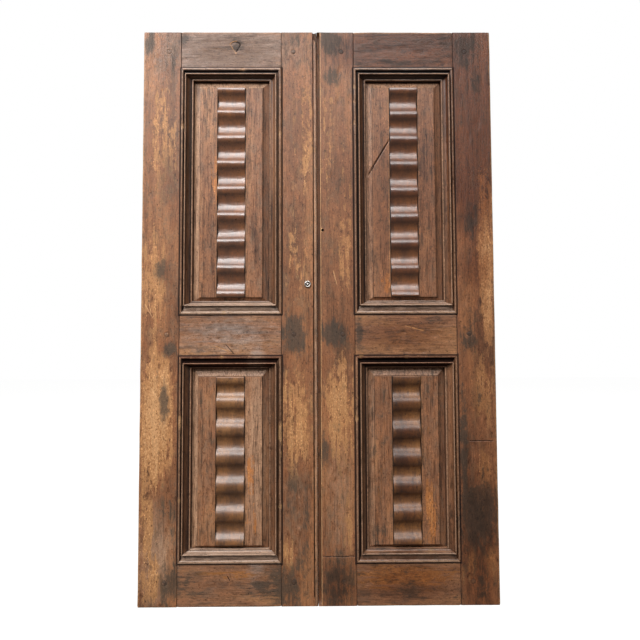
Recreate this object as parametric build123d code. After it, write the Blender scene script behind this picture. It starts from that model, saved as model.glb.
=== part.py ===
from build123d import *
import math
import os

# A pair of carved wooden shutter leaves that meet in the middle, each hung on its outer stile.
# Millimetres. +X right, -Y towards the carved front, +Z up, origin under the middle of the pair.
# A depth is measured from the front face of the stiles towards the back.

# Leaf frame
hanging_stile_width = 77.0
opening_width = 203.0
left_meeting_stile_width = 72.4
right_meeting_stile_width = 75.0
meeting_gap = 0.6
meeting_edge_bevel = 4.0
top_rail_height = 76.0
upper_opening_height = 500.5
middle_rail_height = 86.5
lower_opening_height = 401.0
bottom_rail_height = 86.0
leaf_thickness = 36.0

# Mortise and tenon joints, each held by a peg
tenon_length = 50.0
tenon_thickness = 12.0
tenon_depth = 12.0
tenon_horn = 16.0
mortise_play = 0.1
mortise_relief = 1.0
peg_radius = 4.8
peg_sides = 8
peg_inset = 25.0
peg_play = 0.05

# Bead along the edge of the left meeting stile, lost at its top end
edge_bead_width = 5.2
edge_bead_round = 2.4
quirk_width = 2.2
quirk_depth = 4.0
quirk_stop = 14.0
lost_bead_length = 16.0
lost_bead_slant = 5.0

# Rebate that leaves a shadow line in front, where the right leaf meets the left one
rebate_width = 6.0
rebate_depth = 8.0

# Raised panels
panel_setback = 12.0
panel_edge_thickness = 12.0
panel_tongue = 8.0
panel_play = 0.2
groove_depth = 10.0
bevel_side_width = 14.0
bevel_end_width = 11.0
bevel_rise = 4.5
field_step = 2.0

# Carved ripple strips let into the panels
ripple_width = 56.0
ripple_joint = 1.0
ripple_bed = 9.5
wave_height = 10.0
crest_rise = 5.0
crest_share = 0.4
ripple_end_round = 3.0
upper_wave_count = 8
upper_wave_lead = -4.5
upper_wave_tail = 2.0
lower_wave_count = 6
lower_wave_lead = -4.5
lower_wave_tail = 4.0

# Mitred moulding planted round each opening
moulding_width = 24.0
bead_width = 5.6
bead_base = -0.4
bead_crown = 2.2
groove_width = 3.4
groove_fall = 2.0
ridge_width = 2.6
ridge_side = 6.2
ridge_crown = 0.8
ridge_chamfer = 0.9
fillet_width = 1.0
fillet_height = 3.0
cove_hollow = 2.0
lip_width = 3.0
lip_depth = 4.5
lip_step = 0.9

# Lift-off hinges on the back edge of the hanging stiles: an eye on the leaf turns on a pintle
hinge_height = 90.0
hinge_inset = 190.0
plate_thickness = 3.0
plate_gap = 1.6
plate_reach = 31.0
jamb_clearance = 1.5
knuckle_radius = 6.0
knuckle_clearance = 0.5
pintle_seat_height = 44.0
pintle_seat_gap = 0.4
pin_radius = 3.2
pin_play = 0.05
gain_play = 0.3

# Round holes in the jamb plates, and forged square nails through the leaf plates
fixing_edge = 13.0
fixing_pitch = 28.0
jamb_hole_radius = 2.6
nail_count = 3
nail_width = 3.2
nail_length = 26.0
nail_point_length = 6.0
nail_tip_width = 0.8
nail_head_width = 7.5
nail_head_height = 1.0
nail_crown_width = 2.0
nail_play = 0.05

# Round metal boss of the latch on the left meeting stile, on a square shank
boss_radius = 6.6
boss_height = 2.6
boss_rim = 1.7
boss_dish = 1.2
boss_shank_width = 4.0
boss_shank_length = 20.0
boss_shank_play = 0.05
boss_edge_distance = 19.4
boss_drop = 519.0

# Cuts run past the faces that they open by this much
overrun = 5.0

# Heights of the rails and openings
lower_opening_bottom = bottom_rail_height
lower_opening_top = lower_opening_bottom + lower_opening_height
upper_opening_bottom = lower_opening_top + middle_rail_height
upper_opening_top = upper_opening_bottom + upper_opening_height
leaf_height = upper_opening_top + top_rail_height
openings = {
    "upper": (upper_opening_bottom, upper_opening_top),
    "lower": (lower_opening_bottom, lower_opening_top),
}

# Distances from the middle of the pair, the same on both sides
pair_width = 2 * (hanging_stile_width + opening_width) + meeting_gap
pair_width = pair_width + left_meeting_stile_width + right_meeting_stile_width
outer_x = pair_width / 2
opening_outer_x = outer_x - hanging_stile_width
opening_inner_x = opening_outer_x - opening_width
opening_mid_x = (opening_inner_x + opening_outer_x) / 2
meeting_stile_widths = {"left": left_meeting_stile_width, "right": right_meeting_stile_width}

# Depths of the panels, and the hinge axis behind the back face
panel_back = panel_setback + panel_edge_thickness
bevel_top = panel_setback - bevel_rise
field_depth = bevel_top - field_step
crest_depth = field_depth - crest_rise
ripple_floor = field_depth + ripple_bed
hinge_x = outer_x + jamb_clearance - plate_thickness - plate_gap / 2
hinge_depth = leaf_thickness + knuckle_radius + knuckle_clearance
moulding_proud = ridge_side + ridge_crown
face_y = moulding_proud - (moulding_proud + hinge_depth + knuckle_radius) / 2
hinge_heights = {"upper": leaf_height - hinge_inset, "lower": hinge_inset}


def block(x_low, x_high, depth_front, depth_back, z_low, z_high):
    size = (x_high - x_low, depth_back - depth_front, z_high - z_low)
    middle = ((x_low + x_high) / 2, face_y + (depth_front + depth_back) / 2, (z_low + z_high) / 2)
    return Pos(*middle) * Box(*size)


def front_plane(x, z, across):
    # Local x runs along the given direction on the front face, local y stands out of it.
    outwards = Vector(0, -1, 0)
    return Plane(origin=(x, face_y, z), x_dir=across, z_dir=Vector(across).cross(outwards))


def put(piece, side):
    return piece if side == "right" else mirror(piece, about=Plane.YZ)


def eight_sided(radius, length, x, z):
    # A riven peg's section, drawn out from front to back about the middle of the leaf.
    section = RegularPolygon(radius, peg_sides, rotation=180 / peg_sides)
    middle = Plane(origin=(x, face_y + leaf_thickness / 2, z), x_dir=(1, 0, 0), z_dir=(0, -1, 0))
    return extrude(middle * section, length / 2, both=True)


# Each rail has its bottom, its top, and the bottom and top of its tenons.
rail_spans = {
    "top": (upper_opening_top, leaf_height, upper_opening_top + groove_depth, leaf_height - tenon_horn),
    "middle": (
        lower_opening_top,
        upper_opening_bottom,
        lower_opening_top + groove_depth,
        upper_opening_bottom - groove_depth,
    ),
    "bottom": (0, lower_opening_bottom, tenon_horn, lower_opening_bottom - groove_depth),
}
tenon_back = tenon_depth + tenon_thickness


def peg_places():
    places = []
    for low, high, tenon_low, tenon_high in rail_spans.values():
        peg_z = (tenon_low + tenon_high) / 2
        places.append((opening_inner_x - peg_inset, peg_z))
        places.append((opening_outer_x + peg_inset, peg_z))
    return places


def cut_peg_holes(piece):
    for x, z in peg_places():
        piece = piece - eight_sided(peg_radius + peg_play, leaf_thickness + 2 * overrun, x, z)
    return piece


def stile(x_low, x_high, joint_x, inwards):
    # joint_x is the edge that meets the rails, and the wood lies on its inwards side.
    piece = block(x_low, x_high, 0, leaf_thickness, 0, leaf_height)
    groove_x = sorted((joint_x - inwards * overrun, joint_x + inwards * groove_depth))
    for low, high in openings.values():
        depths = (panel_setback - panel_play, panel_back + panel_play)
        piece = piece - block(*groove_x, *depths, low - groove_depth, high + groove_depth)
    mortise_x = sorted((joint_x - inwards * overrun, joint_x + inwards * (tenon_length + mortise_relief)))
    for low, high, tenon_low, tenon_high in rail_spans.values():
        depths = (tenon_depth - mortise_play, tenon_back + mortise_play)
        piece = piece - block(*mortise_x, *depths, tenon_low - mortise_play, tenon_high + mortise_play)
    return cut_peg_holes(piece)


def meeting_stile(side):
    # The meeting edge falls away towards the back, so that either leaf clears the other as it swings.
    edge_x = opening_inner_x - meeting_stile_widths[side]
    piece = stile(edge_x, opening_inner_x, opening_inner_x, -1)
    back = face_y + leaf_thickness + overrun
    fall = meeting_edge_bevel * (leaf_thickness + overrun) / leaf_thickness
    waste = Polygon(
        (edge_x, face_y),
        (edge_x + fall, back),
        (edge_x - overrun, back),
        (edge_x - overrun, face_y),
        align=None,
    )
    return piece - extrude(Plane.XY.offset(-overrun) * waste, leaf_height + 2 * overrun)


def beaded_stile():
    # The bead is worked on the solid along the meeting edge, with its quirk stopped above the foot.
    edge_x = opening_inner_x - left_meeting_stile_width
    piece = meeting_stile("left")
    front_edge = piece.edges().filter_by(Axis.Z).filter_by(lambda e: e.length > leaf_height / 2)
    front_edge = front_edge.sort_by(Axis.X)[:2].sort_by(Axis.Y)[0]
    piece = fillet(front_edge, edge_bead_round)
    quirk_x = edge_x + edge_bead_width
    quirk_z = (quirk_stop, leaf_height + overrun)
    piece = piece - block(quirk_x, quirk_x + quirk_width, -overrun, quirk_depth, *quirk_z)
    break_z = leaf_height - lost_bead_length
    broken_end = Polygon(
        (edge_x - overrun, break_z - lost_bead_slant),
        (quirk_x, break_z),
        (quirk_x, leaf_height + overrun),
        (edge_x - overrun, leaf_height + overrun),
        align=None,
    )
    broken_end = extrude(Plane.XZ.offset(-face_y - quirk_depth) * broken_end, quirk_depth + overrun)
    piece = piece - broken_end
    hole_width = boss_shank_width + 2 * boss_shank_play
    return piece - boss_place() * Box(hole_width, 2 * boss_shank_length, hole_width)


def rebated_stile():
    edge_x = opening_inner_x - right_meeting_stile_width
    rebate_x = (edge_x - overrun, edge_x + rebate_width)
    rebate_z = (-overrun, leaf_height + overrun)
    return meeting_stile("right") - block(*rebate_x, -overrun, rebate_depth, *rebate_z)


def rail(name):
    low, high, tenon_low, tenon_high = rail_spans[name]
    piece = block(opening_inner_x, opening_outer_x, 0, leaf_thickness, low, high)
    tenon_ends = (opening_inner_x - tenon_length, opening_outer_x + tenon_length)
    piece = piece + block(*tenon_ends, tenon_depth, tenon_back, tenon_low, tenon_high)
    groove_ends = (opening_inner_x, opening_outer_x)
    groove_depths = (panel_setback - panel_play, panel_back + panel_play)
    if name != "top":
        piece = piece - block(*groove_ends, *groove_depths, high - groove_depth, high + overrun)
    if name != "bottom":
        piece = piece - block(*groove_ends, *groove_depths, low - overrun, low + groove_depth)
    return cut_peg_holes(piece)


def bevelled_prism(base_half, top_half, half_length, plane):
    # A trapezium between the panel's margin and the top of its bevel, drawn out along the panel.
    outline = Polygon(
        (-base_half, -panel_setback),
        (base_half, -panel_setback),
        (top_half, -bevel_top),
        (-top_half, -bevel_top),
        align=None,
    )
    return extrude(plane * outline, half_length, both=True)


def panel(row):
    low, high = openings[row]
    mid_z = (low + high) / 2
    tongue_x = (opening_inner_x - panel_tongue, opening_outer_x + panel_tongue)
    piece = block(*tongue_x, panel_setback, panel_back, low - panel_tongue, high + panel_tongue)
    base_half_width = opening_width / 2 - moulding_width
    base_half_height = (high - low) / 2 - moulding_width
    field_half_width = base_half_width - bevel_side_width
    field_half_height = base_half_height - bevel_end_width
    across = front_plane(opening_mid_x, mid_z, (1, 0, 0))
    upright = front_plane(opening_mid_x, mid_z, (0, 0, 1))
    bevel = bevelled_prism(base_half_width, field_half_width, base_half_height, across)
    bevel = bevel & bevelled_prism(base_half_height, field_half_height, base_half_width, upright)
    field_x = (opening_mid_x - field_half_width, opening_mid_x + field_half_width)
    field_z = (mid_z - field_half_height, mid_z + field_half_height)
    field = block(*field_x, field_depth, bevel_top, *field_z)
    bed_half = ripple_width / 2 + ripple_joint
    bed_x = (opening_mid_x - bed_half, opening_mid_x + bed_half)
    return piece + bevel + field - block(*bed_x, field_depth - overrun, ripple_floor, *field_z)


def ripple(row, wave_count, lead, tail):
    # The wave runs down the strip in tangent arcs, a narrow crest and a broader trough in turn.
    low, high = openings[row]
    top_z = high - moulding_width - bevel_end_width
    length = top_z - (low + moulding_width + bevel_end_width)
    wave_length = (length + lead - tail) / wave_count
    crest_half = wave_length * crest_share / 2
    crest = -crest_depth
    turn = crest - wave_height * crest_share
    trough = crest - wave_height
    floor = -ripple_floor
    edges = []
    for number in range(wave_count + 1):
        middle = number * wave_length - lead
        start = (middle - crest_half, turn)
        end = (middle + crest_half, turn)
        next_start = (middle + wave_length - crest_half, turn)
        edges.append(ThreePointArc(start, (middle, crest), end))
        edges.append(ThreePointArc(end, (middle + wave_length / 2, trough), next_start))
    first = (-lead - crest_half, turn)
    edges.append(Polyline(next_start, (next_start[0], floor), (first[0], floor), first))
    outline = front_plane(opening_mid_x, top_z, (0, 0, -1)) * make_face(edges)
    wave = extrude(outline, ripple_width / 2, both=True)
    half = ripple_width / 2 + overrun
    depths = (crest_depth - overrun, ripple_floor)
    strip = wave & block(opening_mid_x - half, opening_mid_x + half, *depths, top_z - length, top_z)
    end_edge = strip.faces().sort_by(Axis.Z)[0].edges().sort_by(Axis.Y)[0]
    return fillet(end_edge, ripple_end_round)


def moulding_outline():
    # Across the moulding from the opening's edge: bead, groove, ridge, cove and lip, on the panel's margin.
    ridge_start = bead_width + groove_width
    ridge_end = ridge_start + ridge_width
    cove_start = ridge_end + fillet_width
    cove_end = moulding_width - lip_width
    run = cove_end - cove_start
    fall = fillet_height + lip_depth
    span = math.hypot(run, fall)
    cove_mid = (
        (cove_start + cove_end) / 2 - cove_hollow * fall / span,
        (fillet_height - lip_depth) / 2 - cove_hollow * run / span,
    )
    edges = [
        Line((0, -panel_setback), (0, bead_base)),
        ThreePointArc((0, bead_base), (bead_width / 2, bead_base + bead_crown), (bead_width, bead_base)),
        Polyline(
            (bead_width, bead_base),
            (bead_width, -groove_fall),
            (ridge_start, -groove_fall),
            (ridge_start, ridge_side),
            (ridge_start + ridge_chamfer, moulding_proud),
            (ridge_end - ridge_chamfer, moulding_proud),
            (ridge_end, ridge_side),
            (ridge_end, fillet_height),
            (cove_start, fillet_height),
        ),
        ThreePointArc((cove_start, fillet_height), cove_mid, (cove_end, -lip_depth)),
        Polyline(
            (cove_end, -lip_depth),
            (cove_end, lip_step - lip_depth),
            (moulding_width, lip_step - lip_depth),
            (moulding_width, -panel_setback),
            (0, -panel_setback),
        ),
    ]
    return make_face(edges)


def moulding(x, z, inwards, length):
    # One member along an edge of the opening, cut to a mitre at both ends.
    plane = front_plane(x, z, inwards)
    member = extrude(plane * moulding_outline(), length / 2 + overrun, both=True)
    half = length / 2
    inner_half = half - moulding_width
    mitre = Polygon(
        (-overrun, -half - overrun),
        (moulding_width + overrun, overrun - inner_half),
        (moulding_width + overrun, inner_half - overrun),
        (-overrun, half + overrun),
        align=None,
    )
    flat = Plane(origin=plane.origin, x_dir=inwards, z_dir=(0, -1, 0))
    reach = panel_setback + moulding_proud + overrun
    return member & extrude(flat * mitre, reach, both=True)


def mouldings(row):
    low, high = openings[row]
    mid_z = (low + high) / 2
    height = high - low
    return {
        "top": moulding(opening_mid_x, high, (0, 0, -1), opening_width),
        "bottom": moulding(opening_mid_x, low, (0, 0, 1), opening_width),
        "outer": moulding(opening_outer_x, mid_z, (-1, 0, 0), height),
        "inner": moulding(opening_inner_x, mid_z, (1, 0, 0), height),
    }


# The two plates of a hinge lie face to face when the leaf is shut, the leaf's own in a gain in the stile.
plate_front = hinge_depth - plate_reach
plate_back = hinge_depth - knuckle_radius - knuckle_clearance
leaf_plate_x = (hinge_x - plate_gap / 2 - plate_thickness, hinge_x - plate_gap / 2)
jamb_plate_x = (hinge_x + plate_gap / 2, hinge_x + plate_gap / 2 + plate_thickness)
fixing_depth = plate_front + fixing_edge


def hinge_rod(radius, z_low, z_high):
    return Pos(hinge_x, face_y + hinge_depth, (z_low + z_high) / 2) * Cylinder(radius, z_high - z_low)


def rolled_plate(plate_x, height, z_low, z_high):
    # A flat plate with a round knuckle on its back edge between two heights.
    bottom = height - hinge_height / 2
    piece = block(*plate_x, plate_front, plate_back, bottom, bottom + hinge_height)
    piece = piece + block(*plate_x, plate_back, hinge_depth, z_low, z_high)
    return piece + hinge_rod(knuckle_radius, z_low, z_high)


def hinge_eye(height):
    top = height + hinge_height / 2
    eye_low = height - hinge_height / 2 + pintle_seat_height + pintle_seat_gap
    piece = rolled_plate(leaf_plate_x, height, eye_low, top)
    piece = piece - hinge_rod(pin_radius + pin_play, eye_low - overrun, top + overrun)
    for z in nail_heights(height):
        piece = piece - nail_hole(z)
    return piece


def hinge_pintle(height):
    bottom = height - hinge_height / 2
    seat = bottom + pintle_seat_height
    piece = rolled_plate(jamb_plate_x, height, bottom, seat)
    piece = piece + hinge_rod(pin_radius, seat, bottom + hinge_height)
    for z in (height - fixing_pitch, height + fixing_pitch):
        hole = Rot(0, 90, 0) * Cylinder(jamb_hole_radius, 2 * overrun)
        piece = piece - Pos(jamb_plate_x[1], face_y + fixing_depth, z) * hole
    return piece


def nail_heights(height):
    first = height - fixing_pitch * (nail_count - 1) / 2
    return [first + number * fixing_pitch for number in range(nail_count)]


def nail_hole(z):
    half = nail_width / 2 + nail_play
    ends = (leaf_plate_x[1] - nail_length, leaf_plate_x[1] + overrun)
    return block(*ends, fixing_depth - half, fixing_depth + half, z - half, z + half)


def drawn_taper(wide, narrow, length):
    slope = math.degrees(math.atan2((wide - narrow) / 2, length))
    return extrude(Rectangle(wide, wide), length, taper=slope)


def nail(z):
    # Forged: a low four-sided head on the plate and a square shank drawn down to a point.
    shank_length = nail_length - nail_point_length
    head = drawn_taper(nail_head_width, nail_crown_width, nail_head_height)
    shank = Pos(0, 0, -shank_length / 2) * Box(nail_width, nail_width, shank_length)
    point = drawn_taper(nail_width, nail_tip_width, nail_point_length)
    point = Pos(0, 0, -shank_length) * Rot(180, 0, 0) * point
    return Pos(leaf_plate_x[1], face_y + fixing_depth, z) * Rot(0, 90, 0) * (head + shank + point)


def hanging_stile():
    piece = stile(opening_outer_x, outer_x, opening_outer_x, 1)
    for height in hinge_heights.values():
        half = hinge_height / 2 + gain_play
        gain = (leaf_plate_x[0], outer_x + overrun, plate_front - gain_play, leaf_thickness + overrun)
        piece = piece - block(*gain, height - half, height + half)
        for z in nail_heights(height):
            piece = piece - nail_hole(z)
    return piece


def boss_place():
    edge_x = opening_inner_x - left_meeting_stile_width
    return Pos(edge_x + boss_edge_distance, face_y, leaf_height - boss_drop)


def latch_boss():
    # A rim round a sunk face, standing on the stile, with a square shank driven into it.
    dish = Polygon(
        (0, 0),
        (boss_radius, 0),
        (boss_radius, boss_height),
        (boss_radius - boss_rim, boss_height),
        (boss_radius - boss_rim, boss_dish),
        (0, boss_dish),
        align=None,
    )
    head = Rot(90, 0, 0) * revolve(Plane.XZ * dish, Axis.Z)
    shank = Pos(0, boss_shank_length / 2, 0) * Box(boss_shank_width, boss_shank_length, boss_shank_width)
    return boss_place() * (head + shank)


ripples = {
    "upper": ripple("upper", upper_wave_count, upper_wave_lead, upper_wave_tail),
    "lower": ripple("lower", lower_wave_count, lower_wave_lead, lower_wave_tail),
}
panels = {row: panel(row) for row in openings}
moulding_sets = {row: mouldings(row) for row in openings}
meeting_stiles = {"left": beaded_stile(), "right": rebated_stile()}

nodes = {}
for side in ("left", "right"):
    nodes[f"{side}_hanging_stile"] = put(hanging_stile(), side)
    nodes[f"{side}_meeting_stile"] = put(meeting_stiles[side], side)
    for name in rail_spans:
        nodes[f"{side}_{name}_rail"] = put(rail(name), side)
    pegs = [eight_sided(peg_radius, leaf_thickness, x, z) for x, z in peg_places()]
    nodes[f"{side}_pegs"] = Compound([put(piece, side) for piece in pegs])
    for row in openings:
        nodes[f"{side}_{row}_panel"] = put(panels[row], side)
        nodes[f"{side}_{row}_ripple"] = put(ripples[row], side)
        for edge, member in moulding_sets[row].items():
            nodes[f"{side}_{row}_moulding_{edge}"] = put(member, side)
    for row, height in hinge_heights.items():
        nodes[f"{side}_{row}_hinge_eye"] = put(hinge_eye(height), side)
        nodes[f"{side}_{row}_hinge_pintle"] = put(hinge_pintle(height), side)
    nails = [nail(z) for height in hinge_heights.values() for z in nail_heights(height)]
    nodes[f"{side}_hinge_nails"] = Compound([put(piece, side) for piece in nails])
nodes["latch_boss"] = put(latch_boss(), "left")

os.makedirs("parts", exist_ok=True)
for name, solid in nodes.items():
    export_step(solid, f"parts/{name}.step")
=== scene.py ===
import math

import bmesh
import bpy
import numpy as np
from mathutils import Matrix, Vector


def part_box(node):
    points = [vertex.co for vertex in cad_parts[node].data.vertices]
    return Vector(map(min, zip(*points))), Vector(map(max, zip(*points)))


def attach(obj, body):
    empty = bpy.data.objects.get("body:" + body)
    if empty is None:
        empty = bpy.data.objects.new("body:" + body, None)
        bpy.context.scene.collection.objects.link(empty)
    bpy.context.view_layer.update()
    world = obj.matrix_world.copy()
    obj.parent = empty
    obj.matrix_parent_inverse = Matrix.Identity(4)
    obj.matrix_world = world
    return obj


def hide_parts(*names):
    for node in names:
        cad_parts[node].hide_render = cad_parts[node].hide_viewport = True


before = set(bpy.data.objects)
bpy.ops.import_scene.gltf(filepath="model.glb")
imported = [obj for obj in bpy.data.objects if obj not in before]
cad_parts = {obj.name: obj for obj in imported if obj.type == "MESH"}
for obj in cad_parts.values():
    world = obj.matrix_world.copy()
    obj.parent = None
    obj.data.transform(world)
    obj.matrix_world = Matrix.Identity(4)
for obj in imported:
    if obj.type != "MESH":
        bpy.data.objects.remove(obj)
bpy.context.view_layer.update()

mm = 0.001
sides = ("left", "right")
rows = ("upper", "lower")
members = ("top", "bottom", "outer", "inner")
sharpAngle = math.radians(40)


def corners(node):
    low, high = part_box(node)
    return np.array(low), np.array(high)


# Where the leaves' openings and faces lie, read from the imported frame
layout = {}
for side in sides:
    hang = corners(f"{side}_hanging_stile")
    meet = corners(f"{side}_meeting_stile")
    rails = {name: corners(f"{side}_{name}_rail") for name in ("top", "middle", "bottom")}
    onRight = side == "right"
    outer = hang[0][0] if onRight else hang[1][0]
    inner = meet[1][0] if onRight else meet[0][0]
    layout[side] = {
        "outer": outer, "inner": inner, "left": min(outer, inner), "right": max(outer, inner),
        "uprights": ("inner", "outer") if onRight else ("outer", "inner"),  # on the left and right of a panel
        "upper": (rails["middle"][1][2], rails["top"][0][2]),
        "lower": (rails["bottom"][1][2], rails["middle"][0][2]),
    }
leafLow, leafHigh = corners("left_hanging_stile")
faceY, leafTop = leafLow[1], leafHigh[2]


# Noise, spacing and soft shapes
noiseCells = 24  # the noise repeats after so many cells
leastGap = 0.05 * mm
seeds = {
    "crack": 3, "split": 5, "beadEnd": 8, "beadTorn": 9, "knot": 21, "rippleSide": 40,
    # these go on with the number of pieces made before
    "board": 11, "panel": 200, "ripple": 700, "chisel": 900, "moulding": 1300,
}


def smoothNoise(points, cell, seed):
    # value noise from -1 to 1, with one cell of the given size along each axis
    table = np.random.default_rng(seed).uniform(-1, 1, (noiseCells,) * 3)
    place = np.asarray(points) / np.asarray(cell)
    whole = np.floor(place).astype(int)
    part = place - whole
    part = part * part * (3 - 2 * part)
    total = np.zeros(place.shape[:-1])
    for step in np.ndindex(2, 2, 2):
        weight = np.prod(np.where(step, part, 1 - part), axis=-1)
        index = (whole + step) % noiseCells
        total += weight * table[index[..., 0], index[..., 1], index[..., 2]]
    return total


def lineNoise(places, cell, seed):
    # the same noise along one line, which lies off the middle of the cells
    flat = np.zeros((len(places), 3))
    flat[:, 0] = places
    flat[:, 1] = 0.37 * cell
    return smoothNoise(flat, cell, seed)


def evenly(start, end, step):
    return list(np.linspace(start, end, max(2, round((end - start) / step) + 1)))


def spaced(start, end, step, fine=()):
    # evenly spaced lines, with closer ones round each (middle, reach, step) in fine
    lines = evenly(start, end, step)
    for middle, reach, closeStep in fine:
        low, high = max(start, middle - reach), min(end, middle + reach)
        if high - low < closeStep:
            continue
        lines = [line for line in lines if line < low - closeStep / 2 or line > high + closeStep / 2]
        lines += evenly(low, high, closeStep) + [start, end]
    lines = sorted(lines)
    kept = [lines[0]]
    for line in lines[1:]:
        if line - kept[-1] > leastGap:
            kept.append(line)
    return np.array(kept)


def unit(values):
    return np.clip(values, 0, 1)


def band(values, middle, width):
    # 1 at the middle, falling off softly on both sides
    return np.exp(-((values - middle) / width) ** 2)


def alongLine(start, end, taper, x, z):
    # how far along a line each place lies, how far beside it in millimetres, and how it fades at the ends
    run = np.array(end) - np.array(start)
    length = np.linalg.norm(run)
    aside, up = x / mm - start[0], z / mm - start[1]
    share = (aside * run[0] + up * run[1]) / length ** 2
    away = np.abs(aside * run[1] - up * run[0]) / length
    fade = unit(taper[0] * np.minimum(share, 1 - share) + taper[1]) * ((share > 0) & (share < 1))
    return share, away, fade


# Colour and nodes
smooth = {"interpolation_type": "SMOOTHSTEP"}
rgba = {"data_type": "RGBA"}


def linear(hexColor):
    channels = [int(hexColor[i:i + 2], 16) / 255 for i in (1, 3, 5)]
    channels = [c / 12.92 if c <= 0.04045 else ((c + 0.055) / 1.055) ** 2.4 for c in channels]
    return (*channels, 1.0)


def feed(tree, node, inputs):
    # another node's output is linked to the socket, a value is set on it
    for key, value in inputs.items():
        if isinstance(value, bpy.types.NodeSocket):
            tree.links.new(value, node.inputs[key])
        else:
            node.inputs[key].default_value = value


def addNode(tree, kind, settings=None, inputs=None, output=0):
    # settings go on the node, inputs on its sockets, and one output comes back
    node = tree.nodes.new("ShaderNode" + kind)
    for key, value in (settings or {}).items():
        setattr(node, key, value)
    feed(tree, node, inputs or {})
    return node.outputs[output]


def newMaterial(name, plainColor):
    material = bpy.data.materials.new(name)
    material.use_nodes = True
    tree = material.node_tree
    shader = tree.nodes["Principled BSDF"]
    shader.inputs["Base Color"].default_value = linear(plainColor)
    return material, tree, shader


# Old tropical hardwood, sawn, planed by hand and waxed for a long time: streaked along the grain,
# with worn ochre places where the finish is gone, black iron stains, dirt and painted shade in the hollows,
# and painted sheen and highlights where faces catch the light.
woodKinds = {
    "stile": {
        "mid": "#875a3d", "light": "#9c6b47", "dark": "#63432f", "grey": "#77604b", "warm": "#945c39",
        "ochre": "#b17e50", "bare": "#cd9f70", "stain": "#42382e", "bloom": "#a98b72",
        "grain": "z", "rough": 0.46, "bump": 0.8, "shine": 0.36, "figure": 0.8,
    },
    "rail": {
        "mid": "#8f6549", "light": "#a1744f", "dark": "#6b4c39", "grey": "#806857", "warm": "#966342",
        "ochre": "#a46a36", "bare": "#b07c4a", "stain": "#42382e", "bloom": "#a4978e",
        "grain": "x", "rough": 0.46, "bump": 0.8, "shine": 0.36, "figure": 0.82,
    },
    "panel": {
        "mid": "#8f6347", "light": "#a57653", "dark": "#6a4936", "grey": "#806a57", "warm": "#9d6640",
        "ochre": "#b3713c", "bare": "#c08d5c", "stain": "#42372d", "bloom": "#b38d70",
        "grain": "z", "rough": 0.44, "bump": 0.7, "shine": 0.36, "figure": 1.2,
    },
    "ripple": {
        "mid": "#6c4023", "light": "#804f29", "dark": "#492915", "grey": "#5e3e2a", "warm": "#7d461e",
        "ochre": "#93602f", "bare": "#8d6243", "stain": "#33241a", "bloom": "#8f6a4e",
        "grain": "z", "rough": 0.32, "bump": 0.4, "shine": 1.0, "figure": 0.6, "coat": 0.6,
    },
    "mouldingUpright": {
        "mid": "#6f4c36", "light": "#835c42", "dark": "#513725", "grey": "#644c3a", "warm": "#774d30",
        "ochre": "#9a754c", "bare": "#a8866c", "stain": "#2e241d", "bloom": "#a58a76",
        "grain": "z", "rough": 0.36, "bump": 0.5, "shine": 0.24, "figure": 1.0,
    },
    "peg": {
        "mid": "#73523c", "light": "#866449", "dark": "#523a28", "grey": "#69523f", "warm": "#7c5639",
        "ochre": "#8b6743", "bare": "#8d7058", "stain": "#3a2c22", "bloom": "#8e7767",
        "grain": "y", "rough": 0.5, "bump": 0.5, "shine": 0.4, "figure": 1.0,
    },
}
woodKinds["rippleWorn"] = {
    **woodKinds["ripple"], "mid": "#7b5029", "light": "#8e6136", "dark": "#57361b", "warm": "#85511f",
    "rough": 0.45, "shine": 0.85, "coat": 0.25,
}
woodKinds["rippleDull"] = {**woodKinds["ripple"], "rough": 0.36, "shine": 0.8, "coat": 0.42}
woodKinds["rippleGreasy"] = {**woodKinds["rippleWorn"], "shine": 0.6, "coat": 0.12}
woodKinds["mouldingLevel"] = {**woodKinds["mouldingUpright"], "grain": "x", "shine": 0.6}
woodKinds["mouldingShadedUnder"] = {  # painted shade: a darker copy for the top members of the lower panels, which face down; never rubbed, and dull
    **woodKinds["mouldingLevel"], "mid": "#5a3322", "light": "#663c28", "grey": "#533225", "bare": "#94705a",
    "shine": 0.1,
}
woodGrain = {  # millimetres across and along the grain, detail, and roughness of the pattern
    "broad": (48, 260, 4.0, 0.6),     # slow changes of tone
    "streak": (6, 110, 4.0, 0.6),     # drawn a little coarser than the fibres, so that it shows
    "fibre": (1.8, 36, 3.0, 0.6),
    "pore": (1.0, 9, 2.0, 0.5),
    "fleck": (2.6, 4, 3.0, 0.65),     # speckle of old wax and dust
    "mottle": (9, 15, 5.0, 0.68),     # scuffs and hand marks
    "scab": (13, 30, 8.0, 0.75),      # ragged remains of old finish
}
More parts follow.
